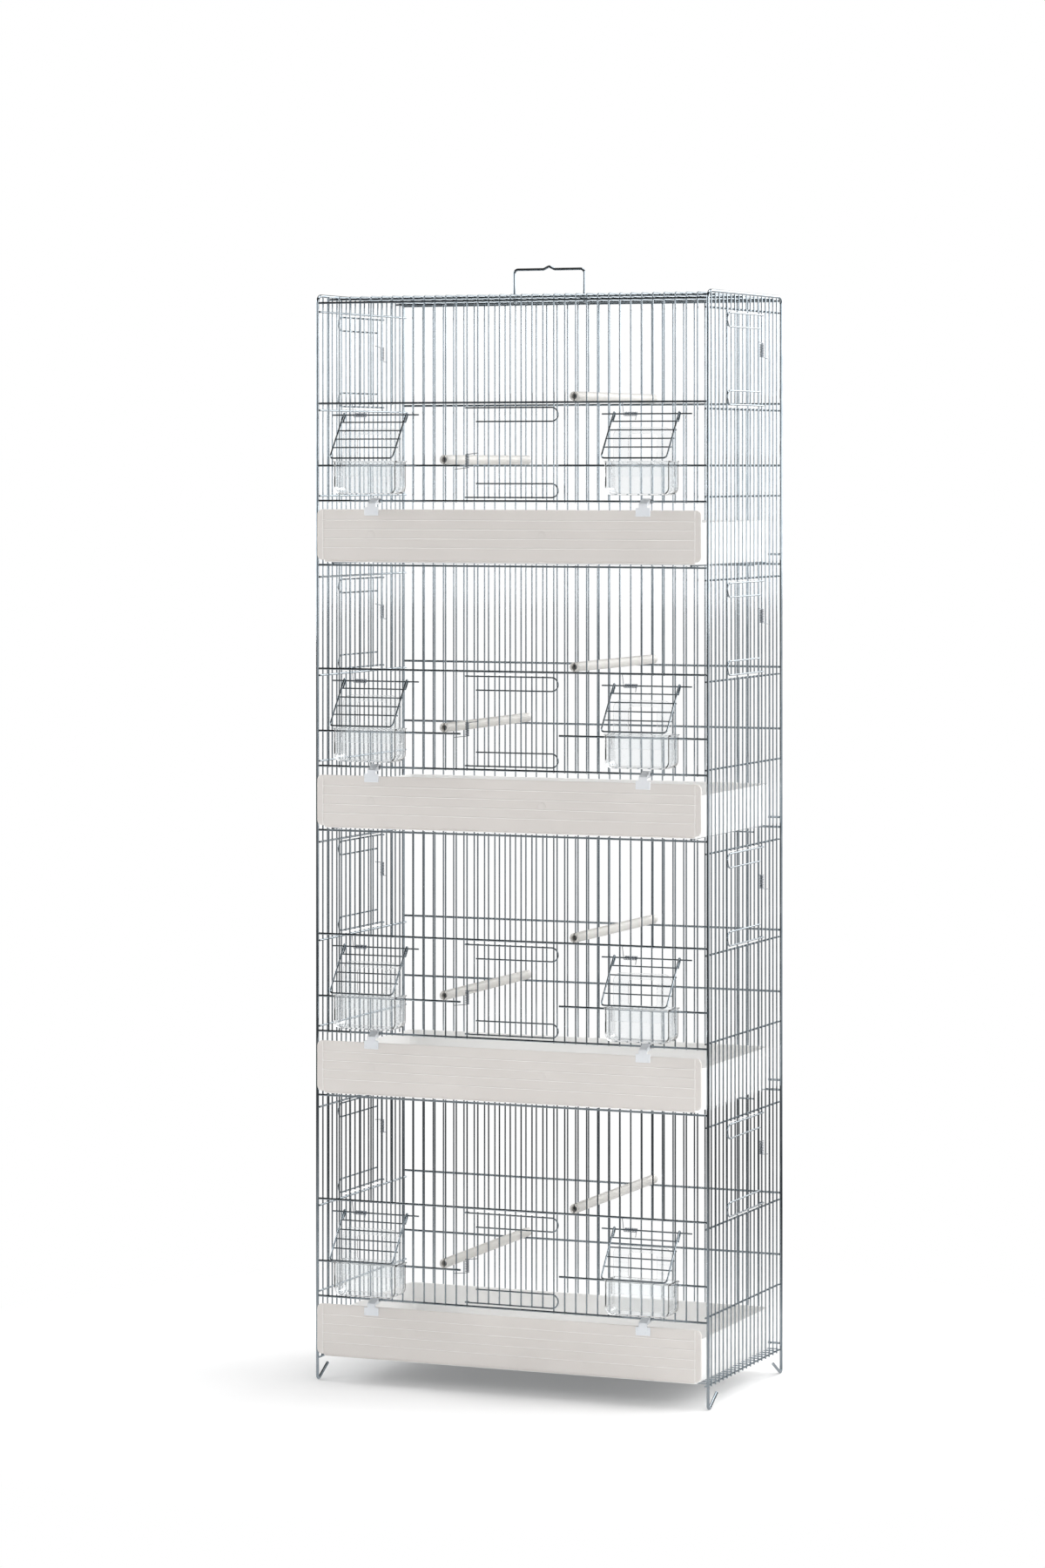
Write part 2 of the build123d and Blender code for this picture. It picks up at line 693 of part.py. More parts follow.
with BuildPart() as flap_spring:
    with BuildLine() as flap_coil:
        flap_turn = 360 * spring_turns - flap_tilt
        coil_line(flap_turn, spring_length, flap_spring_up, flap_spring_down)
    round_wire(flap_coil.wire(), spring_wire)
print("flap spring, least gap between turns:", least_gap(flap_coil.wire(), spring_wire))

with BuildPart() as front_door_springs:
    drop = Location((0, 0, -door_spring_drop))
    with Locations(*[hinge * drop for hinge in front_hinges]):
        add(door_spring.part)
save(front_door_springs, "front_door_springs")

with BuildPart() as side_door_springs:
    drop = Location((0, 0, -side_spring_drop))
    with Locations(*[hinge * drop for hinge in left_hinges]):
        add(door_spring.part)
    mirror(about=Plane.YZ)
save(side_door_springs, "side_door_springs")

with BuildPart() as flap_springs:
    starts = []
    for top in tier_tops:
        for middle in (-feeder_x, feeder_x):
            spot = (middle - flap_spring_offset, -hinge_y, top - flap_hinge_drop)
            starts.append(Plane(spot, x_dir=(0, 0, -1), z_dir=(1, 0, 0)))
    with Locations(*starts):
        add(flap_spring.part)
save(flap_springs, "flap_springs")


# Carry handle: legs that hook round the middle roof rail and a grip with a small peak.
with BuildPart() as carry_handle:
    handle_eyelet = (side_rail_wire + handle_wire) / 2 + hinge_clearance
    handle_half = handle_width / 2
    grip = roof_rail_height + handle_height
    with BuildLine(Plane.XZ.offset(handle_eyelet)) as handle_line:
        FilletPolyline(
            (-handle_half, roof_rail_height),
            (-handle_half, grip),
            (-handle_peak_half, grip),
            (0, grip + handle_peak),
            (handle_peak_half, grip),
            (handle_half, grip),
            (handle_half, roof_rail_height),
            radius=[handle_corner] + [handle_peak_bend] * 3 + [handle_corner],
        )
        for x in (-handle_half, handle_half):
            pivot = Vector(x, 0, roof_rail_height)
            eyelet(pivot, Vector(0, -1, 0), Vector(0, 0, -1), handle_eyelet, eyelet_turn)
    round_wire(handle_line.wire(), handle_wire)
save(carry_handle, "carry_handle")
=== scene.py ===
"""Looks of a four-tier breeding cage: round zinc wires, moulded plastic and a white studio.

All sizes are in metres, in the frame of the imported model: +Z is up and the front faces -Y.
"""

import logging
import math
from dataclasses import dataclass
from enum import Enum
from typing import Callable, Iterable, Protocol, Sequence

import bmesh
import bpy
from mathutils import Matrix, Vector


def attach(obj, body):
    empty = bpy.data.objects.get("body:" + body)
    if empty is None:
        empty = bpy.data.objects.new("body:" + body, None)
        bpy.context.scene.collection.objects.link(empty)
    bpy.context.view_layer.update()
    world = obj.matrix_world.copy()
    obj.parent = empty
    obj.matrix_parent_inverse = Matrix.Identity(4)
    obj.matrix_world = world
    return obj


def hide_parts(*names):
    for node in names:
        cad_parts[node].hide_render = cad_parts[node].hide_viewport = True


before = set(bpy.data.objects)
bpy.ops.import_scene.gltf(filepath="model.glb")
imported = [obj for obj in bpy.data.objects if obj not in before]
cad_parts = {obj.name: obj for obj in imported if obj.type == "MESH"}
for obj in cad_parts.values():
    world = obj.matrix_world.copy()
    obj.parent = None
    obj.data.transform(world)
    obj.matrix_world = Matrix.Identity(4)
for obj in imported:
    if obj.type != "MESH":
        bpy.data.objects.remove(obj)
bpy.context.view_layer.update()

LOG = logging.getLogger("cage")
CAGE_BODY = "cage"
FLAP_TILT = 38.0
UP = Vector((0, 0, 1))
RIGHT = Vector((1, 0, 0))
FRONT = Vector((0, -1, 0))

Mesh = bpy.types.Mesh
Node = bpy.types.Node
Socket = bpy.types.NodeSocket
Sockets = bpy.types.bpy_prop_collection
Pair = tuple[float, float]
Point = tuple[float, float, float]
Colour = tuple[float, float, float]
Inputs = dict[str | int, object]


class Axis(Enum):
    """The axes, with their numbers."""

    X = 0
    Y = 1
    Z = 2


class Side(Enum):
    """The two ends of the cage, with the sign of X there."""

    LEFT = -1
    RIGHT = 1

    @property
    def word(self) -> str:
        """The side's word in the names of nodes."""
        return self.name.lower()


class Slot(Enum):
    """Material slots of the record."""

    WIRE = "wire"
    SPRING = "spring"
    TRAY = "tray"
    CLIP = "clip"
    CLEAR = "clear_plastic"
    PERCH = "perch"


class Form(Enum):
    """How a piece is made, as the last word of its name."""

    WIRE = "wire"
    MOULDING = "moulding"
    TUBE = "tube"


class Operation(Enum):
    """Operations of a Math node."""

    MAXIMUM = "MAXIMUM"
    MULTIPLY = "MULTIPLY"
    SUBTRACT = "SUBTRACT"
    GREATER_THAN = "GREATER_THAN"
    LESS_THAN = "LESS_THAN"


class Step(Enum):
    """Forms of a step between two levels, in a Map Range node."""

    SMOOTH = "SMOOTHSTEP"
    EVEN = "LINEAR"


@dataclass(frozen=True)
class WireGauge:
    """Diameters of the wires."""

    post: float = 0.0040
    rail: float = 0.0028
    side_rail: float = 0.0025
    bar: float = 0.0020
    runner: float = 0.0022
    door: float = 0.0020
    hinge: float = 0.0020
    flap_frame: float = 0.0022
    flap_cross: float = 0.0018
    handle: float = 0.0035
    spring: float = 0.0009


GAUGE = WireGauge()


@dataclass(frozen=True)
class CagePlan:
    """Driving sizes of the wirework and the places that follow from them."""

    width: float = 0.550
    depth: float = 0.280
    tiers: int = 4
    tier_pitch: float = 0.350
    lowest_top: float = 0.3768
    frame_rise: float = 0.0052
    floor_rail: float = 0.0305
    roof_drop: float = 0.0020
    roof_bend: float = 0.0030
    weld_gap: float = 0.00005
    running_gap: float = 0.0003
    front_gaps: int = 36
    side_gaps: int = 19
    door_gaps: int = 8
    side_door_gaps: int = 9
    feeder_gaps: int = 5
    feeder_start: int = 10
    perch_gaps: int = 6
    overhang: float = 0.0020
    front_top_drop: float = 0.0042
    mid_drop: float = 0.1370
    flap_hinge_drop: float = 0.1525
    door_drop: float = 0.2190
    lower_drop: float = 0.2653
    side_top_drop: float = 0.0160
    side_mid_drop: float = 0.1460
    side_low_drop: float = 0.2590
    plate_stand_off: float = 0.0076

    @property
    def post_x(self) -> float:
        """Post centres, from the middle of the front."""
        return self.width / 2

    @property
    def post_y(self) -> float:
        """Post centres, from the middle of a side."""
        return self.depth / 2

    @property
    def tops(self) -> list[float]:
        """Heights of the top rails, the highest tier first."""
        return [self.lowest_top + self.tier_pitch * n for n in reversed(range(self.tiers))]

    @property
    def tier_numbers(self) -> range:
        """Numbers of the tiers, the highest tier first."""
        return range(1, self.tiers + 1)

    @property
    def frame_top(self) -> float:
        """Height of the bar over a side frame."""
        return self.tops[0] + self.frame_rise

    @property
    def roof(self) -> float:
        """Height of the roof wires."""
        return self.frame_top - self.roof_drop

    @property
    def roof_rail(self) -> float:
        """Height of the cross rails under the roof wires."""
        return self.roof - (GAUGE.bar + GAUGE.side_rail) / 2 - self.weld_gap

    @property
    def side_plane(self) -> float:
        """Plane between the bars and the rails of a side."""
        return self.post_x - GAUGE.post / 2

    @property
    def rail_end(self) -> float:
        """End of a cross rail."""
        return self.side_plane - self.weld_gap

    @property
    def bar_y(self) -> float:
        """Centres of the front and back bars, inside the rails."""
        return self.post_y - (GAUGE.rail + GAUGE.bar) / 2 - self.weld_gap

    @property
    def plate_back(self) -> float:
        """Y of the back of a tray's front plate."""
        return -(self.post_y + GAUGE.rail / 2 + self.plate_stand_off)

    @property
    def hinge_y(self) -> float:
        """Centres of the flaps' hinge wires."""
        return self.bar_y + (GAUGE.bar + GAUGE.hinge) / 2 + self.weld_gap

    @property
    def pitch(self) -> float:
        """Bar spacing of the front, the back and the roof."""
        return self.width / self.front_gaps

    @property
    def side_pitch(self) -> float:
        """Bar spacing of a side."""
        return self.depth / self.side_gaps

    @property
    def door_half(self) -> float:
        """Hinge bar of a front door, from the middle of the front."""
        return self.pitch * self.door_gaps / 2

    @property
    def side_door_half(self) -> float:
        """Hinge bar of a side door, from the middle of a side."""
        return self.side_pitch * self.side_door_gaps / 2

    @property
    def feeder_x(self) -> float:
        """Middle of a feeder, from the middle of the front."""
        return self.pitch * (self.feeder_start + self.feeder_gaps / 2)

    @property
    def front_bars(self) -> list[float]:
        """X of every front bar."""
        return [self.pitch * n - self.post_x for n in range(1, self.front_gaps)]

    @property
    def side_bars(self) -> list[float]:
        """Y of every side bar."""
        return [self.side_pitch * n - self.post_y for n in range(1, self.side_gaps)]

    def on_door(self, x: float) -> bool:
        """Says whether a front bar stands over a front door."""
        return abs(x) < self.door_half - self.pitch / 2

    def on_feeder(self, x: float) -> bool:
        """Says whether a front bar is cut for a feeder."""
        return abs(abs(x) - self.feeder_x) < self.pitch * (self.feeder_gaps - 1) / 2

    def on_side_door(self, y: float) -> bool:
        """Says whether a side bar is cut for a side door."""
        return abs(y) < self.side_door_half - self.side_pitch / 2


PLAN = CagePlan()


class Part(Protocol):
    """Anything that the script builds."""

    def build(self) -> None:
        """Adds it to the scene."""


class Nodes:
    """A node tree that is built up node by node."""

    def __init__(self, tree: bpy.types.NodeTree) -> None:
        """Takes the tree."""
        self.tree = tree

    def feed(self, node: Node, values: Inputs) -> None:
        """Sets inputs of a node.

        Args:
            node: Node of the tree.
            values: For an input's name or number, a constant or the socket that drives it.
        """
        for key, value in values.items():
            if isinstance(value, Socket):
                self.tree.links.new(value, node.inputs[key])
            else:
                node.inputs[key].default_value = value

    def add(self, kind: str, values: Inputs, **settings: object) -> Node:
        """Adds a node.

        Args:
            kind: Type of the node.
            values: Its inputs, as for feed.
            **settings: Its other properties.

        Returns:
            The node.
        """
        node = self.tree.nodes.new(kind)
        for name, value in settings.items():
            setattr(node, name, value)
        self.feed(node, values)
        return node


class Shading(Nodes):
    """The node tree of a material or of the surroundings."""

    NOISE_REACH = (0.3, 0.7)

    def axes(self, kind: str) -> Sockets:
        """Gives the sockets X, Y and Z of a kind of coordinates, such as Object."""
        place = self.add("ShaderNodeTexCoord", {}).outputs[kind]
        return self.add("ShaderNodeSeparateXYZ", {"Vector": place}).outputs

    def noise(self, scale: float, detail: float = 3.0) -> Socket:
        """Adds a noise pattern on Object coordinates.

        Args:
            scale: Noise scale, in cycles to a metre.
            detail: Octaves of finer noise.

        Returns:
            The noise's value socket, mostly within NOISE_REACH.
        """
        place = self.add("ShaderNodeTexCoord", {}).outputs["Object"]
        values = {"Vector": place, "Scale": scale, "Detail": detail}
        return self.add("ShaderNodeTexNoise", values).outputs["Fac"]

    def ramp(self, value: Socket, places: Pair, colours: tuple[Colour, Colour]) -> Socket:
        """Adds a colour ramp with two stops.

        Args:
            value: Socket that drives the ramp.
            places: Places of the stops, from 0 to 1.
            colours: Their linear colours.

        Returns:
            The ramp's colour socket.
        """
        node = self.add("ShaderNodeValToRGB", {"Fac": value})
        for element, place, colour in zip(node.color_ramp.elements, places, colours):
            element.position = place
            element.color = (*colour, 1.0)
        return node.outputs["Color"]

    def fade(
        self, value: Socket, reach: Pair, levels: Pair, step: Step = Step.SMOOTH
    ) -> Socket:
        """Adds a step from one level to another.

        Args:
            value: Value that drives the step.
            reach: Values where the step starts and ends.
            levels: Results before and after it.
            step: Form of the step.

        Returns:
            The result's socket.
        """
        names = ("From Min", "From Max", "To Min", "To Max")
        values = {"Value": value, **dict(zip(names, (*reach, *levels)))}
        node = self.add("ShaderNodeMapRange", values, interpolation_type=step.value)
        return node.outputs["Result"]

    def gloss(self, scale: float, levels: Pair) -> Socket:
        """Gives a roughness that drifts between two levels, with noise of a scale."""
        return self.fade(self.noise(scale), self.NOISE_REACH, levels, Step.EVEN)

    def bump(self, height: Socket, depth: float, strength: float) -> Socket:
        """Gives the normal of a height pattern with a depth and a strength."""
        values = {"Height": height, "Distance": depth, "Strength": strength}
        return self.add("ShaderNodeBump", values).outputs["Normal"]

    def combine(self, operation: Operation, first: Socket, second: object) -> Socket:
        """Adds a node that combines two values.

        Args:
            operation: What is done.
            first: First value.
            second: Second value, a socket or a constant.

        Returns:
            The result's socket.
        """
        values = {0: first, 1: second}
        return self.add("ShaderNodeMath", values, operation=operation.value).outputs[0]

    def mix(self, share: Socket, first: object, second: object) -> Socket:
        """Mixes two values.

        Args:
            share: Share of the second value.
            first: First value, a socket or a constant.
            second: Second value, likewise.

        Returns:
            The result's socket.
        """
        return self.add("ShaderNodeMix", {0: share, 2: first, 3: second}).outputs[0]

    def rays(self) -> tuple[Socket, Socket]:
        """Tells rays apart.

        Returns:
            A socket that is 1 for rays from the camera and rays that pass through something,
            and one that is 1 for mirrored rays alone.
        """
        path = self.add("ShaderNodeLightPath", {}).outputs
        passing = path["Is Transmission Ray"]
        seen = self.combine(Operation.MAXIMUM, path["Is Camera Ray"], passing)
        return seen, self.combine(Operation.SUBTRACT, path["Is Glossy Ray"], passing)


def node_material(name: str) -> tuple[bpy.types.Material, Shading, Node]:
    """Makes an empty node material.

    Args:
        name: Name of the material.

    Returns:
        The material, its node tree and its Principled shader.
    """
    material = bpy.data.materials.new(name)
    material.use_nodes = True
    tree = material.node_tree
    return material, Shading(tree), tree.nodes["Principled BSDF"]


@dataclass(frozen=True)
class ZincFinish:
    """Bright zinc plate on drawn wire: cool metal, cloudy gloss and fine drawing marks."""

    name: str
    pale: Colour
    cool: Colour
    gloss: Pair
    cloud_scale: float = 55.0
    cloud_places: Pair = (0.35, 0.68)
    gloss_scale: float = 220.0
    mark_scale: float = 900.0
    mark_depth: float = 0.00002
    mark_strength: float = 0.15

    def material(self) -> bpy.types.Material:
        """Builds the node material.

        Returns:
            The material.
        """
        material, shade, shader = node_material(self.name)
        clouds = shade.noise(self.cloud_scale)
        marks = shade.noise(self.mark_scale)
        values = {
            "Base Color": shade.ramp(clouds, self.cloud_places, (self.pale, self.cool)),
            "Metallic": 1.0,
            "Roughness": shade.gloss(self.gloss_scale, self.gloss),
            "Normal": shade.bump(marks, self.mark_depth, self.mark_strength),
        }
        shade.feed(shader, values)
        return material


@dataclass(frozen=True)
class PaintedLightZone:
    """Painted light: a lighter colour painted where Y is greater or less than a limit, in place of
    light that falls there.
    """

    test: Operation
    limit: float
    colour: Colour


@dataclass(frozen=True)
class PlasticFinish:
    """Moulded plastic: a little uneven in colour, with a fine sparked grain."""

    name: str
    colour: Colour
    shade: Colour
    gloss: Pair
    translucency: float
    painted_light_zones: tuple[PaintedLightZone, ...] = ()
    drift_scale: float = 9.0
    drift_places: Pair = (0.35, 0.65)
    gloss_scale: float = 120.0
    index: float = 1.5
    scatter: float = 0.004
    grain_scale: float = 1400.0
    grain_depth: float = 0.00004
    grain_strength: float = 0.3

    def material(self) -> bpy.types.Material:
        """Builds the node material.

        Returns:
            The material.
        """
        material, shade, shader = node_material(self.name)
        drift = shade.noise(self.drift_scale)
        tint = shade.ramp(drift, self.drift_places, (self.colour, self.shade))
        # Painted light: each zone paints its lighter colour over the drift where Y passes its
        # limit.
        for light_zone in self.painted_light_zones:
            beyond = shade.combine(light_zone.test, shade.axes("Object")["Y"], light_zone.limit)
            values = {"Fac": beyond, "Color1": tint, "Color2": (*light_zone.colour, 1.0)}
            tint = shade.add("ShaderNodeMixRGB", values).outputs["Color"]
        grain = shade.noise(self.grain_scale)
        values = {
            "Base Color": tint,
            "Roughness": shade.gloss(self.gloss_scale, self.gloss),
            "IOR": self.index,
            "Subsurface Weight": self.translucency,
            "Subsurface Radius": (self.scatter, self.scatter, self.scatter),
            "Normal": shade.bump(grain, self.grain_depth, self.grain_strength),
        }
        shade.feed(shader, values)
        return material


@dataclass(frozen=True)
class ClearFinish:
    """Clear moulded plastic with faint flow marks."""

    name: str
    colour: Colour
    gloss: Pair
    gloss_scale: float = 200.0
    index: float = 1.49
    flow_scale: float = 30.0
    flow_detail: float = 1.0
    flow_depth: float = 0.000004
    flow_strength: float = 0.25

    def material(self) -> bpy.types.Material:
        """Builds the node material.

        Returns:
            The material.
        """
        material, shade, shader = node_material(self.name)
        flow = shade.noise(self.flow_scale, self.flow_detail)
        values = {
            "Base Color": (*self.colour, 1.0),
            "Transmission Weight": 1.0,
            "IOR": self.index,
            "Roughness": shade.gloss(self.gloss_scale, self.gloss),
            "Normal": shade.bump(flow, self.flow_depth, self.flow_strength),
        }
        shade.feed(shader, values)
        return material


# Painted light: the tray's pan, behind the front plate's back, is painted whiter than the plate,
# in place of the light that falls into it from above and behind; both are one plastic.
PAN_LIGHT_MARGIN = 0.0001
RIB_HIGHLIGHT_DEPTH = 0.0034
PAN_PAINTED_LIGHT = PaintedLightZone(
    Operation.GREATER_THAN, PLAN.plate_back + PAN_LIGHT_MARGIN, (0.91, 0.905, 0.895)
)
# Painted highlight: the crests of the ribs and studs, which stand more than this depth in front of
# the plate's back, are painted lighter where the light from above catches them.
RIB_PAINTED_HIGHLIGHT = PaintedLightZone(
    Operation.LESS_THAN, PLAN.plate_back - RIB_HIGHLIGHT_DEPTH, (0.885, 0.86, 0.84)
)
FINISHES = {
    Slot.WIRE: ZincFinish("zinc_wire", (0.36, 0.40, 0.43), (0.28, 0.325, 0.36), (0.05, 0.11)),
    Slot.SPRING: ZincFinish("spring_wire", (0.30, 0.32, 0.35), (0.22, 0.25, 0.29), (0.08, 0.16)),
    Slot.TRAY: PlasticFinish(
        "tray_plastic",
        (0.80, 0.765, 0.735),
        (0.77, 0.735, 0.705),
        (0.38, 0.5),
        translucency=0.35,
        painted_light_zones=(PAN_PAINTED_LIGHT, RIB_PAINTED_HIGHLIGHT),
    ),
    Slot.CLIP: PlasticFinish(
        "clip_plastic", (0.86, 0.88, 0.91), (0.82, 0.85, 0.89), (0.25, 0.38), translucency=0.3
    ),
    Slot.CLEAR: ClearFinish("feeder_plastic", (0.97, 0.98, 0.985), (0.02, 0.06)),
    Slot.PERCH: PlasticFinish(
        "perch_plastic", (0.63, 0.615, 0.59), (0.59, 0.575, 0.545), (0.4, 0.52), translucency=0.15
    ),
}
MATERIALS = {slot: finish.material() for slot, finish in FINISHES.items()}


@dataclass(frozen=True)
class Wire:
    """One length of round wire: the points of its centre line and its diameter."""

    points: tuple[Vector, ...]
    diameter: float


def straight(start: Sequence[float], end: Sequence[float], diameter: float) -> Wire:
    """Makes a straight wire.

    Args:
        start: One end.
        end: The other end.
        diameter: Diameter of the wire.

    Returns:
        The wire.
    """
    return Wire((Vector(start), Vector(end)), diameter)


def arc(center: Vector, out: Vector, way: Vector, turn: float, steps: int) -> list[Vector]:
    """Gives points on an arc.

    Args:
        center: Centre of the arc.
        out: From the centre to the arc's start.
        way: Of the same length, the direction in which the arc starts.
        turn: Degrees that the arc goes round.
        steps: Steps along the arc.

    Returns:
        The points, the start among them.
    """
    angles = [math.radians(turn * n / steps) for n in range(steps + 1)]
    return [center + out * math.cos(a) + way * math.sin(a) for a in angles]


def rounded_line(
    corners: Sequence[Vector], radii: Sequence[float], steps: int = 8
) -> list[Vector]:
    """Rounds the corners of a line.

    Args:
        corners: Ends and corners of the line.
        radii: Radius at each corner between the ends.
        steps: Steps along each arc.

    Returns:
        Points of the rounded line.
    """
    points = [corners[0]]
    for before, corner, after, radius in zip(corners, corners[1:], corners[2:], radii):
        back = (before - corner).normalized()
        ahead = (after - corner).normalized()
        half = back.angle(ahead) / 2
        center = corner + (back + ahead).normalized() * (radius / math.sin(half))
        start = corner + back * (radius / math.tan(half)) - center
        points += arc(center, start, -back * radius, 180 - math.degrees(2 * half), steps)
    points.append(corners[-1])
    return points


def scene_object(name: str, data: bpy.types.ID) -> bpy.types.Object:
    """Puts a mesh, lamp or camera on a new object of the scene.

    Args:
        name: Name of the object.
        data: What it shows.

    Returns:
        The object.
    """
    thing = bpy.data.objects.new(name, data)
    bpy.context.scene.collection.objects.link(thing)
    return thing


def baked(holder: bpy.types.Object, *helpers: bpy.types.Object) -> Mesh:
    """Turns an object with a modifier into a plain mesh.

    Args:
        holder: The object, removed afterwards with its mesh.
        *helpers: Objects that the modifier uses, removed too.

    Returns:
        The plain mesh.
    """
    graph = bpy.context.evaluated_depsgraph_get()
    result = bpy.data.meshes.new_from_object(holder.evaluated_get(graph))
    for used in (holder, *helpers):
        mesh = used.data
        bpy.data.objects.remove(used)
        bpy.data.meshes.remove(mesh)
    return result


def mesh_of(shape: bmesh.types.BMesh, name: str, slot: Slot) -> Mesh:
    """Turns a shape into a mesh.

    Args:
        shape: The shape, freed afterwards.
        name: Name of the mesh.
        slot: Slot whose material it gets.

    Returns:
        The mesh.
    """
    mesh = bpy.data.meshes.new(name)
    shape.to_mesh(mesh)
    shape.free()
    mesh.materials.append(MATERIALS[slot])
    return mesh


class PartTree(Nodes):
    """A Geometry Nodes tree with named inputs, whose results become plain meshes."""

    def __init__(self, name: str, count: str) -> None:
        """Makes the empty tree, with a geometry, a count and a material as inputs.

        Args:
            name: Name of the tree.
            count: Name of the count.
        """
        super().__init__(bpy.data.node_groups.new(name, "GeometryNodeTree"))
        self.keys: dict[str, str] = {}
        face = self.tree.interface
        for label, kind in (("Geometry", "Geometry"), (count, "Int"), ("Finish", "Material")):
            socket = face.new_socket(label, in_out="INPUT", socket_type="NodeSocket" + kind)
            self.keys[label] = socket.identifier
        face.new_socket("Geometry", in_out="OUTPUT", socket_type="NodeSocketGeometry")
        self.source = self.add("NodeGroupInput", {}).outputs

    def attribute(self, name: str, kind: str) -> Socket:
        """Gives the socket of the source mesh's own attribute, FLOAT or FLOAT_VECTOR."""
        node = self.add("GeometryNodeInputNamedAttribute", {"Name": name}, data_type=kind)
        return node.outputs["Attribute"]

    def close(self, geometry: Socket) -> None:
        """Ends the tree in smooth shading, real meshes and the piece's material.

        Args:
            geometry: What the tree has made.
        """
        smooth = self.add("GeometryNodeSetShadeSmooth", {"Geometry": geometry})
        real = self.add("GeometryNodeRealizeInstances", {"Geometry": smooth.outputs["Geometry"]})
        values = {"Geometry": real.outputs["Geometry"], "Material": self.source["Finish"]}
        dress = self.add("GeometryNodeSetMaterial", values)
        self.add("NodeGroupOutput", {"Geometry": dress.outputs["Geometry"]})

    def run(self, mesh: Mesh, values: dict[str, object]) -> Mesh:
        """Runs the tree on a mesh.

        Args:
            mesh: Source mesh, removed afterwards.
            values: Value of each named input.

        Returns:
            The result as a plain mesh.
        """
        holder = scene_object("holder", mesh)
        modifier = holder.modifiers.new("tree", "NODES")
        modifier.node_group = self.tree
        for label, value in values.items():
            modifier[self.keys[label]] = value
        return baked(holder)


class WireTree(PartTree):
    """Turns the edges of a mesh into round wires with closed ends."""

    RADIUS = "wire_radius"

    def __init__(self) -> None:
        """Builds the tree: edges to curves, a round profile along them, and caps."""
        super().__init__("wires", "Sides")
        curve = self.add("GeometryNodeMeshToCurve", {"Mesh": self.source["Geometry"]})
        round_values = {"Resolution": self.source["Sides"], "Radius": 1.0}
        profile = self.add("GeometryNodeCurvePrimitiveCircle", round_values)
        values = {
            "Curve": curve.outputs["Curve"],
            "Profile Curve": profile.outputs["Curve"],
            "Scale": self.attribute(self.RADIUS, "FLOAT"),
            "Fill Caps": True,
        }
        self.close(self.add("GeometryNodeCurveToMesh", values).outputs["Mesh"])

    def build(self, wires: Sequence[Wire], slot: Slot, sides: int = 14) -> Mesh:
        """Builds wires.

        Args:
            wires: The wires.
            slot: Slot whose material they get.
            sides: Sides of a wire's round section.

        Returns:
            A plain mesh of all of them.
        """
        points: list[Vector] = []
        edges: list[tuple[int, int]] = []
        radii: list[float] = []
        for wire in wires:
            first = len(points)
            points += wire.points
            radii += [wire.diameter / 2] * len(wire.points)
            edges += [(n, n + 1) for n in range(first, len(points) - 1)]
        source = bpy.data.meshes.new("centre_lines")
        source.from_pydata(points, edges, [])
        source.attributes.new(self.RADIUS, "FLOAT", "POINT").data.foreach_set("value", radii)
        mesh = self.run(source, {"Sides": sides, "Finish": MATERIALS[slot]})
        sharpen(mesh)
        return mesh


class BeadTree(PartTree):
    """Sets a small flattened bead at each point of a mesh."""

    SIZE = "bead_size"
    RINGS = 6

    def __init__(self) -> None:
        """Builds the tree: a ball at each point, scaled by the point's own three sizes."""
        super().__init__("beads", "Segments")
        ball_values = {"Segments": self.source["Segments"], "Rings": self.RINGS, "Radius": 1.0}
        ball = self.add("GeometryNodeMeshUVSphere", ball_values)
        values = {
            "Points": self.source["Geometry"],
            "Instance": ball.outputs["Mesh"],
            "Scale": self.attribute(self.SIZE, "FLOAT_VECTOR"),
        }
        self.close(self.add("GeometryNodeInstanceOnPoints", values).outputs["Instances"])

    def build(
        self, spots: Sequence[Vector], sizes: Sequence[Vector], slot: Slot, segments: int = 8
    ) -> Mesh:
        """Builds beads.

        Args:
            spots: Centres of the beads.
            sizes: Half sizes of each bead along X, Y and Z.
            slot: Slot whose material they get.
            segments: Sides of a bead.

        Returns:
            A plain mesh of all of them.
        """
        source = bpy.data.meshes.new("spots")
        source.from_pydata(spots, [], [])
        flat = [value for size in sizes for value in size]
        source.attributes.new(self.SIZE, "FLOAT_VECTOR", "POINT").data.foreach_set("vector", flat)
        return self.run(source, {"Segments": segments, "Finish": MATERIALS[slot]})


def sharpen(mesh: Mesh, angle: float = 40.0, flat_width: float = 0.002) -> None:
    """Shades a mesh smooth, but for sharp edges and the borders of wide flat faces.

    Args:
        mesh: Mesh to change.
        angle: Faces that meet at more than this angle, in degrees, have a sharp edge.
        flat_width: Faces wider than this stay flat.
    """
    shape = bmesh.new()
    shape.from_mesh(mesh)
    for face in shape.faces:
        face.smooth = True
    wide = set()
    for face in shape.faces:
        if 2 * face.calc_area() > flat_width * face.calc_perimeter():
            wide.add(face)
    limit = math.radians(angle)
    for edge in shape.edges:
        paired = len(edge.link_faces) == 2 and wide.isdisjoint(edge.link_faces)
        edge.smooth = paired and edge.calc_face_angle() < limit
    shape.to_mesh(mesh)
    shape.free()


def joined(meshes: Iterable[Mesh], slot: Slot) -> Mesh:
    """Joins meshes of one material into one.

    Args:
        meshes: Meshes to join, removed afterwards.
        slot: Slot whose material they have.

    Returns:
        The joined mesh.
    """
    shape = bmesh.new()
    for mesh in meshes:
        shape.from_mesh(mesh)
        bpy.data.meshes.remove(mesh)
    return mesh_of(shape, "joined", slot)


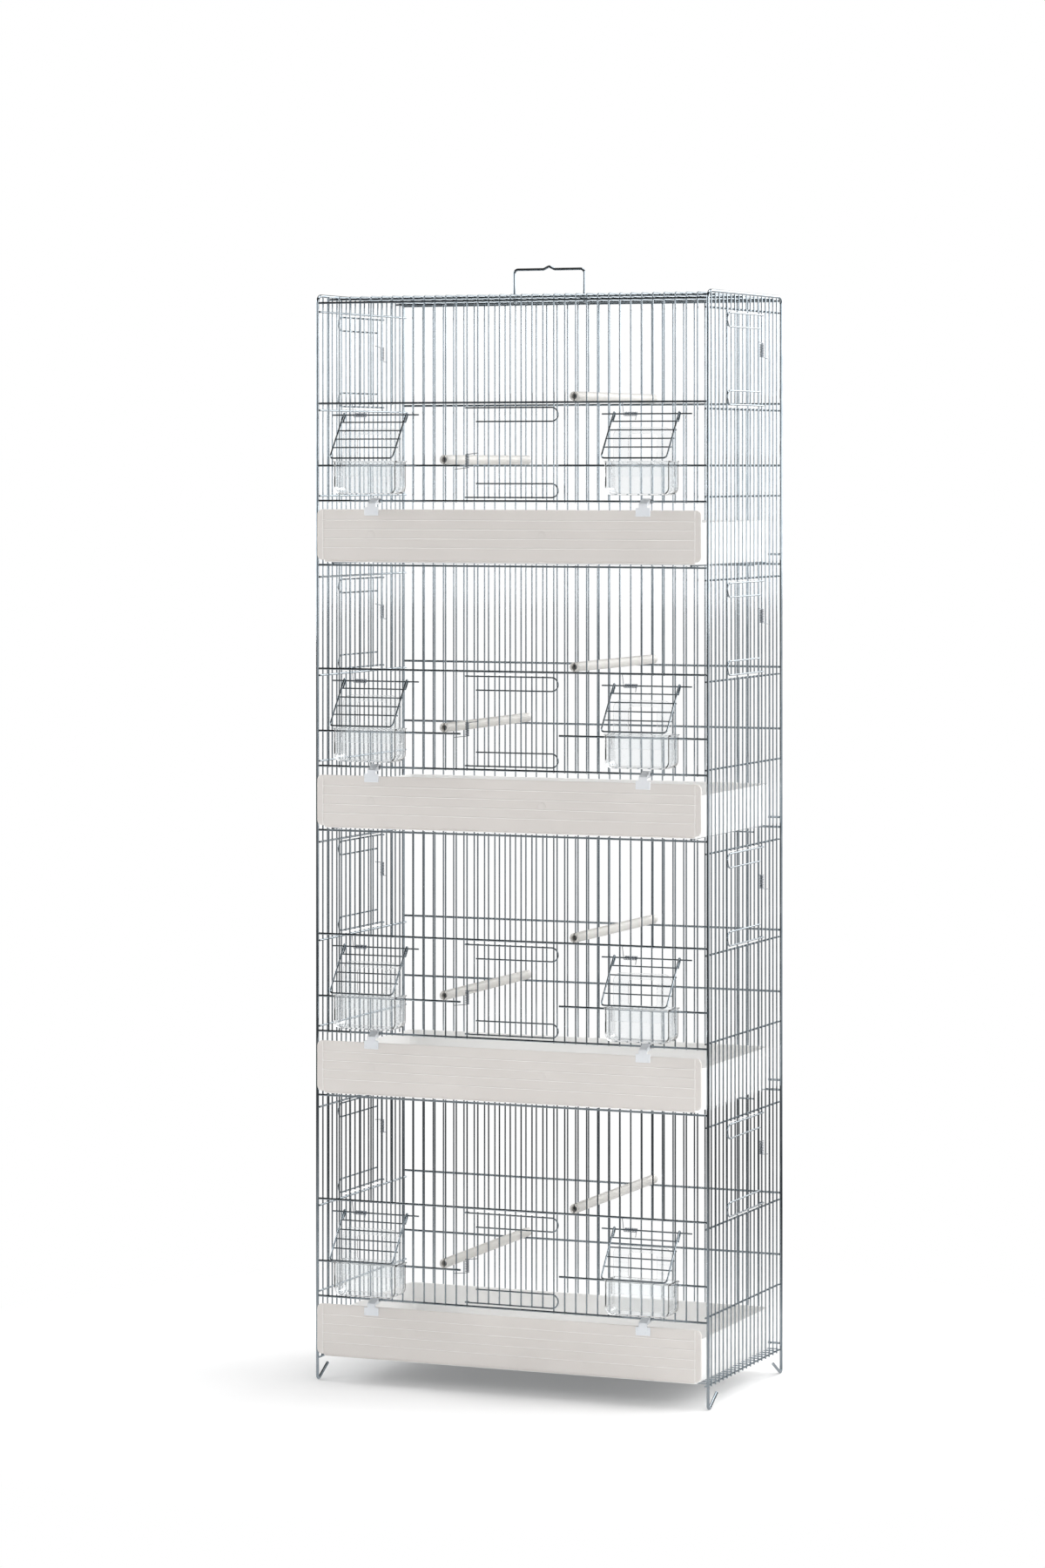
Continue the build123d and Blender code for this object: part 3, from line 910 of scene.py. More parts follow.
def set_piece(
    node: str, form: Form, mesh: Mesh, body: str = CAGE_BODY
) -> None:
    """Puts a finished mesh on its body, in place of the node that it stands for.

    Args:
        node: Node that the piece replaces.
        form: How it is made.
        mesh: The finished mesh.
        body: Body that the piece moves with.
    """
    mesh.name = f"{node}_{form.value}"
    piece = scene_object(mesh.name, mesh)
    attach(piece, body)
    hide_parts(node)
    LOG.info("%s: %d faces on %s", mesh.name, len(mesh.polygons), body)


def crossings(
    first: Sequence[float], second: Sequence[float], spot: Callable[[float, float], Vector]
) -> list[Vector]:
    """Gives the spots where two rows of wires cross.

    Args:
        first: Places of the first row.
        second: Places of the second row.
        spot: Turns a place of each row into a spot.

    Returns:
        The spots.
    """
    return [spot(a, b) for a in first for b in second]


@dataclass(frozen=True)
class WeldBead:
    """The flash that is squeezed out where two wires are welded."""

    across: float = 0.0014
    thick: float = 0.0007

    def size(self, normal: Axis) -> Vector:
        """Gives a bead's half sizes, thin along an axis.

        Args:
            normal: The axis.

        Returns:
            The half sizes along X, Y and Z.
        """
        size = Vector((self.across, self.across, self.across))
        size[normal.value] = self.thick
        return size


WIRES = WireTree()
BEADS = BeadTree()
BEAD = WeldBead()


def wire_piece(
    node: str,
    wires: Sequence[Wire],
    welds: Sequence[Vector] = (),
    normal: Axis = Axis.X,
    body: str = CAGE_BODY,
) -> None:
    """Builds a piece of welded wire.

    Args:
        node: Node that the piece replaces.
        wires: Its wires.
        welds: Spots where they are welded.
        normal: Axis that stands on the panel.
        body: Body that the piece moves with.
    """
    mesh = WIRES.build(wires, Slot.WIRE)
    if welds:
        beads = BEADS.build(welds, [BEAD.size(normal)] * len(welds), Slot.WIRE)
        mesh = joined([mesh, beads], Slot.WIRE)
    set_piece(node, Form.WIRE, mesh, body)


@dataclass(frozen=True)
class SideFrame:
    """Two posts, their bent feet and the bar over them: one long bent wire."""

    side: Side
    bend: float = 0.010
    foot_bend: float = 0.004
    foot_slope: float = 30.0
    foot_steps: int = 10
    toe: float = 0.030

    def foot(self) -> list[Vector]:
        """Gives the front foot's line, from the toe to the post.

        Returns:
            Points of the line.
        """
        x = self.side.value * PLAN.post_x
        slope = math.radians(self.foot_slope)
        center = Vector((x, self.foot_bend - PLAN.post_y, self.foot_bend + GAUGE.post / 2))
        turn = 90 + self.foot_slope
        bend = self.foot_bend
        sole = arc(center, FRONT * bend, -UP * bend, turn, self.foot_steps)
        tip = sole[-1] + Vector((0, math.cos(slope), math.sin(slope))) * self.toe
        return [tip] + sole[::-1]

    def build(self) -> None:
        """Builds the piece."""
        x = self.side.value * PLAN.post_x
        front = self.foot()
        back = [Vector((p.x, -p.y, p.z)) for p in reversed(front)]
        corners = [
            front[-1],
            Vector((x, -PLAN.post_y, PLAN.frame_top)),
            Vector((x, PLAN.post_y, PLAN.frame_top)),
            back[0],
        ]
        over = rounded_line(corners, [self.bend, self.bend])
        line = Wire(tuple(front[:-1] + over + back[1:]), GAUGE.post)
        wire_piece(f"side_frame_{self.side.word}", [line])


@dataclass(frozen=True)
class SideGrille:
    """Upright bars on the outside, rails on the inside, open at each side door."""

    side: Side
    overhang: float = 0.001

    def build(self) -> None:
        """Builds the piece."""
        sign = self.side.value
        bar_x = sign * (PLAN.side_plane + GAUGE.bar / 2)
        rail_x = sign * (PLAN.rail_end - GAUGE.side_rail / 2)
        lowest = PLAN.floor_rail - PLAN.overhang
        highest = PLAN.frame_top - GAUGE.post / 2 - PLAN.weld_gap
        over = [top - PLAN.side_top_drop - PLAN.overhang for top in PLAN.tops]
        under = [top - PLAN.side_mid_drop + PLAN.overhang for top in PLAN.tops]
        drops = (PLAN.side_top_drop, PLAN.side_mid_drop, PLAN.side_low_drop)
        heights = [PLAN.floor_rail] + [top - drop for top in PLAN.tops for drop in drops]
        wires = []
        welds = []
        for y in PLAN.side_bars:
            runs = [(lowest, highest)]
            if PLAN.on_side_door(y):
                runs = list(zip(over + [lowest], [highest] + under))
            wires += [straight((bar_x, y, low), (bar_x, y, high), GAUGE.bar) for low, high in runs]
            welds += [Vector((sign * PLAN.side_plane, y, height)) for height in heights]
        end = PLAN.post_y + self.overhang
        wires += [straight((rail_x, -end, z), (rail_x, end, z), GAUGE.side_rail) for z in heights]
        wire_piece(f"side_grille_{self.side.word}", wires, welds, Axis.X)


@dataclass(frozen=True)
class FrontGrille:
    """Front of one tier: rails outside, bars inside, hinge wires over the feeders."""

    tier: int
    rail_gap: float = 0.0084
    hinge_half: float = 0.062

    def bar_runs(self, x: float, top: float) -> list[tuple[float, float]]:
        """Gives the lower and upper ends of the bars at x.

        Args:
            x: Place of the bars.
            top: Height of the tier's top rail.

        Returns:
            The two heights of each bar.
        """
        high = top + PLAN.overhang
        if self.tier == 1:
            high = PLAN.roof - PLAN.roof_bend - PLAN.weld_gap
        low = top - PLAN.lower_drop - PLAN.overhang
        middle = top - PLAN.mid_drop - PLAN.overhang
        if PLAN.on_door(x):
            return [(middle, high)]
        if PLAN.on_feeder(x):
            return [(middle, high), (low, top - PLAN.door_drop + PLAN.overhang)]
        return [(low, high)]

    def build(self) -> None:
        """Builds the piece."""
        top = PLAN.tops[self.tier - 1]
        bar_y = -PLAN.bar_y
        rail_y = -PLAN.post_y
        top_drop = PLAN.front_top_drop if self.tier == 1 else 0.0
        heights = [top - drop for drop in (top_drop, PLAN.mid_drop, PLAN.lower_drop)]
        door_height = top - PLAN.door_drop
        gap = PLAN.door_half + self.rail_gap
        wires = []
        welds = []
        weld_y = bar_y - GAUGE.bar / 2
        for x in PLAN.front_bars:
            runs = self.bar_runs(x, top)
            wires += [straight((x, bar_y, low), (x, bar_y, high), GAUGE.bar) for low, high in runs]
            for z in heights + [door_height] * (abs(x) > gap):
                if any(low <= z <= high for low, high in runs):
                    welds.append(Vector((x, weld_y, z)))
        end = PLAN.rail_end
        wires += [straight((-end, rail_y, z), (end, rail_y, z), GAUGE.rail) for z in heights]
        for side in Side:
            inner = (side.value * gap, rail_y, door_height)
            wires.append(straight((side.value * end, rail_y, door_height), inner, GAUGE.rail))
            middle = side.value * PLAN.feeder_x
            left = Vector((middle - self.hinge_half, -PLAN.hinge_y, top - PLAN.flap_hinge_drop))
            right = left + Vector((2 * self.hinge_half, 0, 0))
            wires.append(straight(left, right, GAUGE.hinge))
        wire_piece(f"front_grille_tier_{self.tier}", wires, welds, Axis.Y)


@dataclass(frozen=True)
class BackGrille:
    """Back: bars of the full height inside, rails outside."""

    floor_rise: float = 0.009
    double_rise: float = 0.013

    def build(self) -> None:
        """Builds the piece."""
        floor = PLAN.floor_rail + self.floor_rise
        high = PLAN.roof - GAUGE.bar / 2 - PLAN.weld_gap
        drops = (0.0, PLAN.mid_drop, PLAN.door_drop)
        heights = [floor] + [top - drop for top in PLAN.tops for drop in drops]
        heights += [top + self.double_rise for top in PLAN.tops[1:]]
        bar_y = PLAN.bar_y
        low = floor - PLAN.overhang
        end = PLAN.rail_end
        rail_y = PLAN.post_y
        wires = [straight((x, bar_y, low), (x, bar_y, high), GAUGE.bar) for x in PLAN.front_bars]
        wires += [straight((-end, rail_y, z), (end, rail_y, z), GAUGE.rail) for z in heights]
        weld_y = bar_y + GAUGE.bar / 2
        welds = crossings(PLAN.front_bars, heights, lambda x, z: Vector((x, weld_y, z)))
        wire_piece("back_grille", wires, welds, Axis.Y)


@dataclass(frozen=True)
class RoofGrille:
    """Roof wires that come up round a bend from the front, on three cross rails."""

    rail_gaps: float = 7.5
    bend_steps: int = 6

    def build(self) -> None:
        """Builds the piece."""
        bend = PLAN.roof_bend
        back = PLAN.bar_y + GAUGE.bar / 2
        wires = []
        for x in PLAN.front_bars:
            center = Vector((x, bend - PLAN.bar_y, PLAN.roof - bend))
            line = arc(center, FRONT * bend, UP * bend, 90, self.bend_steps)
            line.append(Vector((x, back, PLAN.roof)))
            wires.append(Wire(tuple(line), GAUGE.bar))
        outer = self.rail_gaps * PLAN.side_pitch
        rows = (-outer, 0.0, outer)
        end = PLAN.rail_end
        z = PLAN.roof_rail
        wires += [straight((-end, y, z), (end, y, z), GAUGE.side_rail) for y in rows]
        weld_z = PLAN.roof - GAUGE.bar / 2
        welds = crossings(PLAN.front_bars, rows, lambda x, y: Vector((x, y, weld_z)))
        wire_piece("roof_grille", wires, welds, Axis.Z)


@dataclass(frozen=True)
class Shelf:
    """Two runner wires and a cross wire under a tray."""

    tier: int
    runner_gaps: float = 16.5
    cross_gaps: float = 2.5

    def build(self) -> None:
        """Builds the piece."""
        level = PLAN.tops[self.tier]
        z = level + (GAUGE.rail + GAUGE.runner) / 2 + PLAN.weld_gap
        end = PLAN.post_y + GAUGE.rail / 2
        wires = []
        welds = []
        cross_y = self.cross_gaps * PLAN.side_pitch
        cross_z = z - (GAUGE.runner + GAUGE.bar) / 2 - PLAN.weld_gap
        for side in Side:
            x = side.value * self.runner_gaps * PLAN.pitch
            wires.append(straight((x, -end, z), (x, end, z), GAUGE.runner))
            low = z - GAUGE.runner / 2
            welds += [Vector((x, y, low)) for y in (-PLAN.post_y, cross_y, PLAN.post_y)]
        reach = PLAN.rail_end
        wires.append(straight((-reach, cross_y, cross_z), (reach, cross_y, cross_z), GAUGE.bar))
        wire_piece(f"shelf_tier_{self.tier}", wires, welds, Axis.Z)


@dataclass(frozen=True)
class BottomGrille:
    """Cross wires under the lowest tray."""

    def build(self) -> None:
        """Builds the piece."""
        z = PLAN.floor_rail + (GAUGE.side_rail + GAUGE.bar) / 2 + PLAN.weld_gap
        rows = [PLAN.side_pitch * (n + 0.5) - PLAN.post_y for n in range(PLAN.side_gaps)]
        end = PLAN.rail_end
        wires = [straight((-end, y, z), (end, y, z), GAUGE.bar) for y in rows]
        reach = PLAN.rail_end - GAUGE.side_rail / 2
        weld_z = z - GAUGE.bar / 2
        welds = crossings((-reach, reach), rows, lambda x, y: Vector((x, y, weld_z)))
        wire_piece("bottom_grille", wires, welds, Axis.Z)


@dataclass(frozen=True)
class FeederFlap:
    """Wire flap over a feeder, hung by two eyelets on its hinge wire."""

    tier: int
    side: Side
    width: float = 0.092
    length: float = 0.074
    tilt: float = FLAP_TILT
    corner: float = 0.005
    cross_count: int = 4
    cross_first: float = 0.0126
    cross_pitch: float = 0.01403
    cross_overhang: float = 0.001
    tail: float = 0.0095
    eyelet_steps: int = 16

    def build(self) -> None:
        """Builds the piece."""
        top = PLAN.tops[self.tier - 1]
        hinge = Vector(
            (self.side.value * PLAN.feeder_x, -PLAN.hinge_y, top - PLAN.flap_hinge_drop)
        )
        tilt = math.radians(self.tilt)
        down = Vector((0, -math.sin(tilt), -math.cos(tilt)))
        outward = Vector((0, -math.cos(tilt), math.sin(tilt)))
        eye = (GAUGE.hinge + GAUGE.flap_frame) / 2 + PLAN.running_gap
        leg = Vector(((self.width - GAUGE.flap_frame) / 2, 0, 0))
        lift = outward * eye
        corners = [
            hinge - leg + lift,
            hinge - leg + lift + down * self.length,
            hinge + leg + lift + down * self.length,
            hinge + leg + lift,
        ]
        loop = arc(Vector(), lift, -down * eye, 180, self.eyelet_steps)
        loop.append(loop[-1] + down * self.tail)
        line = [hinge - leg + spot for spot in reversed(loop)]
        line += rounded_line(corners, [self.corner] * 2)[1:-1]
        line += [hinge + leg + spot for spot in loop]
        wires = [Wire(tuple(line), GAUGE.flap_frame)]
        cross_lift = eye - (GAUGE.flap_frame + GAUGE.flap_cross) / 2 - PLAN.weld_gap
        reach = Vector((self.width / 2 + self.cross_overhang, 0, 0))
        for n in range(self.cross_count):
            step = down * (self.cross_first + self.cross_pitch * n)
            middle = hinge + outward * cross_lift + step
            wires.append(straight(middle - reach, middle + reach, GAUGE.flap_cross))
        name = f"feeder_flap_{self.side.word}_tier_{self.tier}"
        wire_piece(name, wires, body=name)


@dataclass(frozen=True)
class DoorShape:
    """A wire door about its hinge bar: two long loops that carry upright bars.

    The hinge bar is at the origin, the door runs along X and its outside faces -Y.
    """

    pitch: float
    gaps: int
    upper: float
    lower: float
    reach: float
    loop_height: float = 0.018
    overhang: float = 0.0015
    eyelet_turn: float = 240.0
    eyelet_steps: int = 20
    loop_steps: int = 16

    def wires(self, origin: Vector, along: Vector, outward: Vector) -> list[Wire]:
        """Makes the wires of a door.

        Args:
            origin: Spot on the hinge bar, at the rail over the door.
            along: Direction of the door from its hinge.
            outward: Direction of its outside.

        Returns:
            The wires.
        """
        eye = (GAUGE.bar + GAUGE.door) / 2 + PLAN.running_gap
        radius = self.loop_height / 2
        turn_x = self.pitch * self.gaps + self.reach - radius
        wires = []
        for outer, inward in ((-self.upper, -UP), (-self.lower, UP)):
            base = origin + UP * outer
            lift = base + outward * eye
            turn = self.eyelet_turn
            line = arc(base, outward * eye, -along * eye, turn, self.eyelet_steps)[::-1]
            middle = lift + along * turn_x + inward * radius
            line += arc(middle, -inward * radius, along * radius, 180, self.loop_steps)
            start = self.pitch - self.overhang
            line.append(lift + along * start + inward * self.loop_height)
            wires.append(Wire(tuple(line), GAUGE.door))
        depth = eye - (GAUGE.door + GAUGE.bar) / 2 - PLAN.weld_gap
        for n in range(1, self.gaps):
            spot = origin + along * (self.pitch * n) + outward * depth
            low = spot - UP * (self.lower + self.overhang)
            high = spot - UP * (self.upper - self.overhang)
            wires.append(straight(low, high, GAUGE.bar))
        return wires


FRONT_DOOR = DoorShape(PLAN.pitch, PLAN.door_gaps, 0.0067, 0.1236, 0.0069)
SIDE_DOOR = DoorShape(PLAN.side_pitch, PLAN.side_door_gaps, 0.0050, 0.1240, 0.0045)


@dataclass(frozen=True)
class DoorHinge:
    """Where a door hangs: a spot on its hinge bar and two directions."""

    spot: Vector
    along: Vector
    outward: Vector


def front_hinge(tier: int) -> DoorHinge:
    """Gives the hinge of a front door.

    Args:
        tier: Number of the door's tier.

    Returns:
        The hinge, on the left of the door.
    """
    height = PLAN.tops[tier - 1] - PLAN.mid_drop
    spot = Vector((-PLAN.door_half, -PLAN.bar_y, height))
    return DoorHinge(spot, RIGHT, FRONT)


def side_hinge(tier: int, side: Side) -> DoorHinge:
    """Gives the hinge of a side door.

    Args:
        tier: Number of the door's tier.
        side: Side of the cage.

    Returns:
        The hinge, towards the back.
    """
    height = PLAN.tops[tier - 1] - PLAN.side_top_drop
    bar_x = side.value * (PLAN.side_plane + GAUGE.bar / 2)
    spot = Vector((bar_x, PLAN.side_door_half, height))
    return DoorHinge(spot, FRONT, RIGHT * side.value)


@dataclass(frozen=True)
class Doors:
    """The front door and the two side doors of each tier."""

    def build(self) -> None:
        """Builds the pieces."""
        for tier in PLAN.tier_numbers:
            self.build_one(f"front_door_tier_{tier}", FRONT_DOOR, front_hinge(tier))
            for side in Side:
                name = f"side_door_{side.word}_tier_{tier}"
                self.build_one(name, SIDE_DOOR, side_hinge(tier, side))

    def build_one(self, name: str, shape: DoorShape, hinge: DoorHinge) -> None:
        """Builds one door on its hinge."""
        wires = shape.wires(hinge.spot, hinge.along, hinge.outward)
        wire_piece(name, wires, body=name)


@dataclass(frozen=True)
class TorsionSpring:
    """A wound spring on a hinge wire, with a straight leg at each end."""

    turns: float
    length: float = 0.0175
    radius: float = 0.00245
    first_leg: float = 0.017
    last_leg: float = 0.017
    steps: int = 20

    def wire(self, start: Vector, axis: Vector, out: Vector, way: Vector) -> Wire:
        """Winds the spring.

        Args:
            start: Spot on the hinge wire where the coil starts.
            axis: Direction of the coil.
            out: From the hinge wire to the coil's start.
            way: Direction in which the first leg arrives there.

        Returns:
            The spring's wire.
        """
        count = round(self.turns * self.steps)
        points = []
        for n in range(count + 1):
            share = n / count
            angle = 2 * math.pi * self.turns * share
            around = out * math.cos(angle) + way * math.sin(angle)
            points.append(start + axis * (self.length * share) + around * self.radius)
        climb = axis * (self.length / (2 * math.pi * self.turns * self.radius))
        last = 2 * math.pi * self.turns
        leave = way * math.cos(last) - out * math.sin(last) + climb
        points.insert(0, points[0] - (way + climb).normalized() * self.first_leg)
        points.append(points[-1] + leave.normalized() * self.last_leg)
        return Wire(tuple(points), GAUGE.spring)


FLAP_TURNS = 9 - FLAP_TILT / 360


@dataclass(frozen=True)
class Springs:
    """The springs of the doors and of the flaps."""

    front_drop: float = 0.085
    side_drop: float = 0.060
    flap_offset: float = 0.031
    sides: int = 10
    door_spring: TorsionSpring = TorsionSpring(10)
    flap_spring: TorsionSpring = TorsionSpring(FLAP_TURNS, first_leg=0.015, last_leg=0.0115)

    def build(self) -> None:
        """Builds the pieces."""
        tiers = PLAN.tier_numbers
        fronts = [self.on_door(front_hinge(tier), self.front_drop) for tier in tiers]
        sides = [self.on_door(side_hinge(t, side), self.side_drop) for t in tiers for side in Side]
        flaps = []
        for top in PLAN.tops:
            for side in Side:
                x = side.value * PLAN.feeder_x - self.flap_offset
                spot = Vector((x, -PLAN.hinge_y, top - PLAN.flap_hinge_drop))
                flaps.append(self.flap_spring.wire(spot, RIGHT, FRONT, -UP))
        groups = {
            "front_door_springs": fronts,
            "side_door_springs": sides,
            "flap_springs": flaps,
        }
        for name, wires in groups.items():
            mesh = WIRES.build(wires, Slot.SPRING, self.sides)
            set_piece(name, Form.WIRE, mesh)

    def on_door(self, hinge: DoorHinge, drop: float) -> Wire:
        """Winds a door's spring on its hinge bar."""
        return self.door_spring.wire(hinge.spot - UP * drop, UP, hinge.outward, hinge.along)


@dataclass(frozen=True)
class CarryHandle:
    """Bent wire handle, hooked round the middle roof rail."""

    width: float = 0.100
    height: float = 0.0403
    corner: float = 0.005
    peak: float = 0.004
    peak_half: float = 0.008
    peak_bend: float = 0.004
    eyelet_turn: float = 240.0
    eyelet_steps: int = 20

    def build(self) -> None:
        """Builds the piece."""
        eye = (GAUGE.side_rail + GAUGE.handle) / 2 + PLAN.running_gap
        half = self.width / 2
        foot = PLAN.roof_rail
        grip = foot + self.height
        outline = [(-half, foot), (-half, grip), (-self.peak_half, grip), (0, grip + self.peak)]
        outline += [(-x, z) for x, z in reversed(outline[:3])]
        corners = [Vector((x, -eye, z)) for x, z in outline]
        radii = [self.corner] + [self.peak_bend] * 3 + [self.corner]
        loop = arc(Vector(), FRONT * eye, -UP * eye, self.eyelet_turn, self.eyelet_steps)
        line = [Vector((-half, 0, foot)) + spot for spot in reversed(loop)]
        line += rounded_line(corners, radii)[1:-1]
        line += [Vector((half, 0, foot)) + spot for spot in loop]
        wire_piece("carry_handle", [Wire(tuple(line), GAUGE.handle)], body="carry_handle")


MERGE_GAP = 1e-6
FLAT_ANGLE = math.radians(1.0)
EDGE_ANGLE = math.radians(35.0)


def softened(node: str, slot: Slot, edge: float, segments: int = 3) -> Mesh:
    """Copies a node as a moulded shape with rounded edges.

    Args:
        node: Node to copy.
        slot: Slot whose material the copy gets.
        edge: Radius of its edges.
        segments: Faces across a rounded edge.

    Returns:
        A plain mesh.
    """
    shape = bmesh.new()
    shape.from_mesh(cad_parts[node].data)
    bmesh.ops.remove_doubles(shape, verts=shape.verts, dist=MERGE_GAP)
    bmesh.ops.dissolve_limit(
        shape, angle_limit=FLAT_ANGLE, verts=shape.verts, edges=shape.edges
    )
    holder = scene_object("holder", mesh_of(shape, node + "_copy", slot))
    bevel = holder.modifiers.new("edges", "BEVEL")
    bevel.width = edge
    bevel.segments = segments
    bevel.limit_method = "ANGLE"
    bevel.angle_limit = EDGE_ANGLE
    bevel.use_clamp_overlap = False
    result = baked(holder)
    sharpen(result)
    return result


def rounded_ring(low: Pair, high: Pair, radii: Pair, steps: int = 8) -> list[Pair]:
    """Gives the points of a rectangle with round corners, anticlockwise.

    Args:
        low: Lower left corner.
        high: Upper right corner.
        radii: Radii of the two lower and the two upper corners.
        steps: Steps along each corner.

    Returns:
        The points, as many at each corner.
    """
    corners = ((low[0], low[1], 180), (high[0], low[1], 270), (high[0], high[1], 0))
    corners += ((low[0], high[1], 90),)
    points = []
    for (x, y, start), radius in zip(corners, (radii[0], radii[0], radii[1], radii[1])):
        middle_x = x + radius if x == low[0] else x - radius
        middle_y = y + radius if y == low[1] else y - radius
        for n in range(steps + 1):
            angle = math.radians(start + 90 * n / steps)
            across, up = radius * math.cos(angle), radius * math.sin(angle)
            points.append((middle_x + across, middle_y + up))
    return points


def skin(rings: Sequence[Sequence[Vector]], slot: Slot) -> Mesh:
    """Joins rings of as many points into a closed skin, with a face over each end.

    Args:
        rings: The rings, in order.
        slot: Slot whose material the skin gets.

    Returns:
        A plain mesh.
    """
    shape = bmesh.new()
    loops = [[shape.verts.new(point) for point in ring] for ring in rings]
    for loop, following in zip(loops, loops[1:]):
        for n in range(len(loop)):
            shape.faces.new((loop[n - 1], loop[n], following[n], following[n - 1]))
    shape.faces.new(loops[0])
    shape.faces.new(loops[-1])
    bmesh.ops.recalc_face_normals(shape, faces=shape.faces)
    mesh = mesh_of(shape, "skin", slot)
    sharpen(mesh)
    return mesh


@dataclass(frozen=True)
class Tray:
    """Slide-out tray: an open pan behind a front plate with raised ribs."""

    tier: int
    side_gap: float = 0.005
    plate_height: float = 0.0665
    plate_thickness: float = 0.003
    plate_corner: float = 0.007
    plate_edge: float = 0.0007
    lift: float = 0.003
    pan_inset: float = 0.008
    pan_height: float = 0.054
    pan_wall: float = 0.002
    pan_corner: float = 0.012
    pan_front_corner: float = 0.0028
    pan_edge: float = 0.0008
    back_gap: float = 0.0025
    rib_height: float = 0.0006
    rib_width: float = 0.0016
    rib_count: int = 4
    rib_pitch: float = 0.0121
    rib_rise: float = 0.0012
    stud: float = 0.003
    end_inset: float = 0.0085
    end_margin: float = 0.001
    marks: tuple[float, ...] = (-0.192, 0.050)
    mark_size: float = 0.0055
    stud_sides: int = 24

    @property
    def seat(self) -> float:
        """Height of the pan's underside."""
        if self.tier < PLAN.tiers:
            runner = PLAN.tops[self.tier] + GAUGE.rail / 2 + GAUGE.runner
            return runner + PLAN.weld_gap + PLAN.running_gap
        grille = PLAN.floor_rail + GAUGE.side_rail / 2 + GAUGE.bar
        return grille + PLAN.weld_gap + PLAN.running_gap

    @property
    def half(self) -> float:
        """Half the plate's width."""
        return PLAN.post_x - self.side_gap

    def plate(self) -> Mesh:
        """Builds the plate, with round edges.

        Returns:
            A plain mesh.
        """
        low = self.seat + self.lift
        rings = []
        for depth, inset in self.edge_steps(self.plate_thickness, self.plate_edge):
            corner = self.plate_corner - inset
            outline = rounded_ring(
                (inset - self.half, low + inset),
                (self.half - inset, low + self.plate_height - inset),
                (corner, corner),
            )
            rings.append([Vector((x, PLAN.plate_back - depth, z)) for x, z in outline])
        return skin(rings, Slot.TRAY)

    def edge_steps(self, thickness: float, edge: float, count: int = 3) -> list[Pair]:
        """Gives depths through a wall and the inset there, rounded at both faces.

        Args:
            thickness: Thickness of the wall.
            edge: Radius of its edges.
            count: Steps round an edge.

        Returns:
            A depth and an inset for each step.
        """
        steps = []
        for n in range(count + 1):
            angle = math.radians(90 * n / count)
            steps.append((edge * (1 - math.cos(angle)), edge * (1 - math.sin(angle))))
        return steps + [(thickness - depth, inset) for depth, inset in reversed(steps)]

    def pan(self) -> Mesh:
        """Builds the pan: up the outside, over a round rim and down the inside.

        Returns:
            A plain mesh.
        """
        half = self.half - self.pan_inset
        back = PLAN.bar_y - GAUGE.bar / 2 - self.back_gap
        edge = self.pan_edge
        rim = [(inset, depth) for depth, inset in self.edge_steps(self.pan_wall, edge)]
        walls = [(edge, 0.0), (0.0, edge)]
        walls += [(depth, self.pan_height - inset) for inset, depth in rim]
        walls += [(self.pan_wall, self.pan_wall + edge), (self.pan_wall + edge, self.pan_wall)]
        rings = []
        for inset, height in walls:
            outline = rounded_ring(
                (inset - half, PLAN.plate_back + inset),
                (half - inset, back - inset),
                (self.pan_front_corner - inset, self.pan_corner - inset),
            )
            rings.append([Vector((x, y, self.seat + height)) for x, y in outline])
        return skin(rings, Slot.TRAY)

    def ribs(self) -> list[Mesh]:
        """Builds the round ribs, their studs and two faint moulding marks.

        Returns:
            A mesh of the ribs and one of the studs and marks.
        """
        radius = self.rib_width / 2
        front = PLAN.plate_back - self.plate_thickness
        y = front - self.rib_height + radius
        middle = self.seat + self.lift + self.plate_height / 2
        reach = self.half - self.end_inset
        start = middle + self.rib_rise - self.rib_pitch * (self.rib_count - 1) / 2
        heights = [start + self.rib_pitch * n for n in range(self.rib_count)]
        wires = [straight((-reach, y, z), (reach, y, z), self.rib_width) for z in heights]
        tall = self.plate_height / 2 - self.end_margin
        ends = (-reach, reach)
        for x in ends:
            wires.append(straight((x, y, middle - tall), (x, y, middle + tall), self.rib_width))
        studs = crossings(ends, heights, lambda x, z: Vector((x, front, z)))
        sizes = [Vector((self.stud / 2, self.rib_height, self.stud / 2))] * len(studs)
        studs += [Vector((x, front, middle)) for x in self.marks]
        sizes += [Vector((self.mark_size, self.rib_height / 4, self.mark_size))] * len(self.marks)
        bars = WIRES.build(wires, Slot.TRAY)
        return [bars, BEADS.build(studs, sizes, Slot.TRAY, self.stud_sides)]

    def build(self) -> None:
        """Builds the piece."""
        name = f"tray_tier_{self.tier}"
        mesh = joined([self.plate(), self.pan(), *self.ribs()], Slot.TRAY)
        set_piece(name, Form.MOULDING, mesh, name)


@dataclass(frozen=True)
class Mouldings:
    """Tray clips and feeders, with the round edges of moulded plastic."""

    clip_edge: float = 0.0006
    feeder_edge: float = 0.0004

    def build(self) -> None:
        """Builds the pieces."""
        for tier in PLAN.tier_numbers:
            for side in Side:
                clip = f"tray_clip_{side.word}_tier_{tier}"
                self.build_one(clip, clip, Slot.CLIP, self.clip_edge)
                feeder = f"feeder_{side.word}_tier_{tier}"
                self.build_one(feeder, CAGE_BODY, Slot.CLEAR, self.feeder_edge)

    def build_one(self, node: str, body: str, slot: Slot, edge: float) -> None:
        """Builds one moulded piece in place of its node."""
        set_piece(node, Form.MOULDING, softened(node, slot, edge), body)


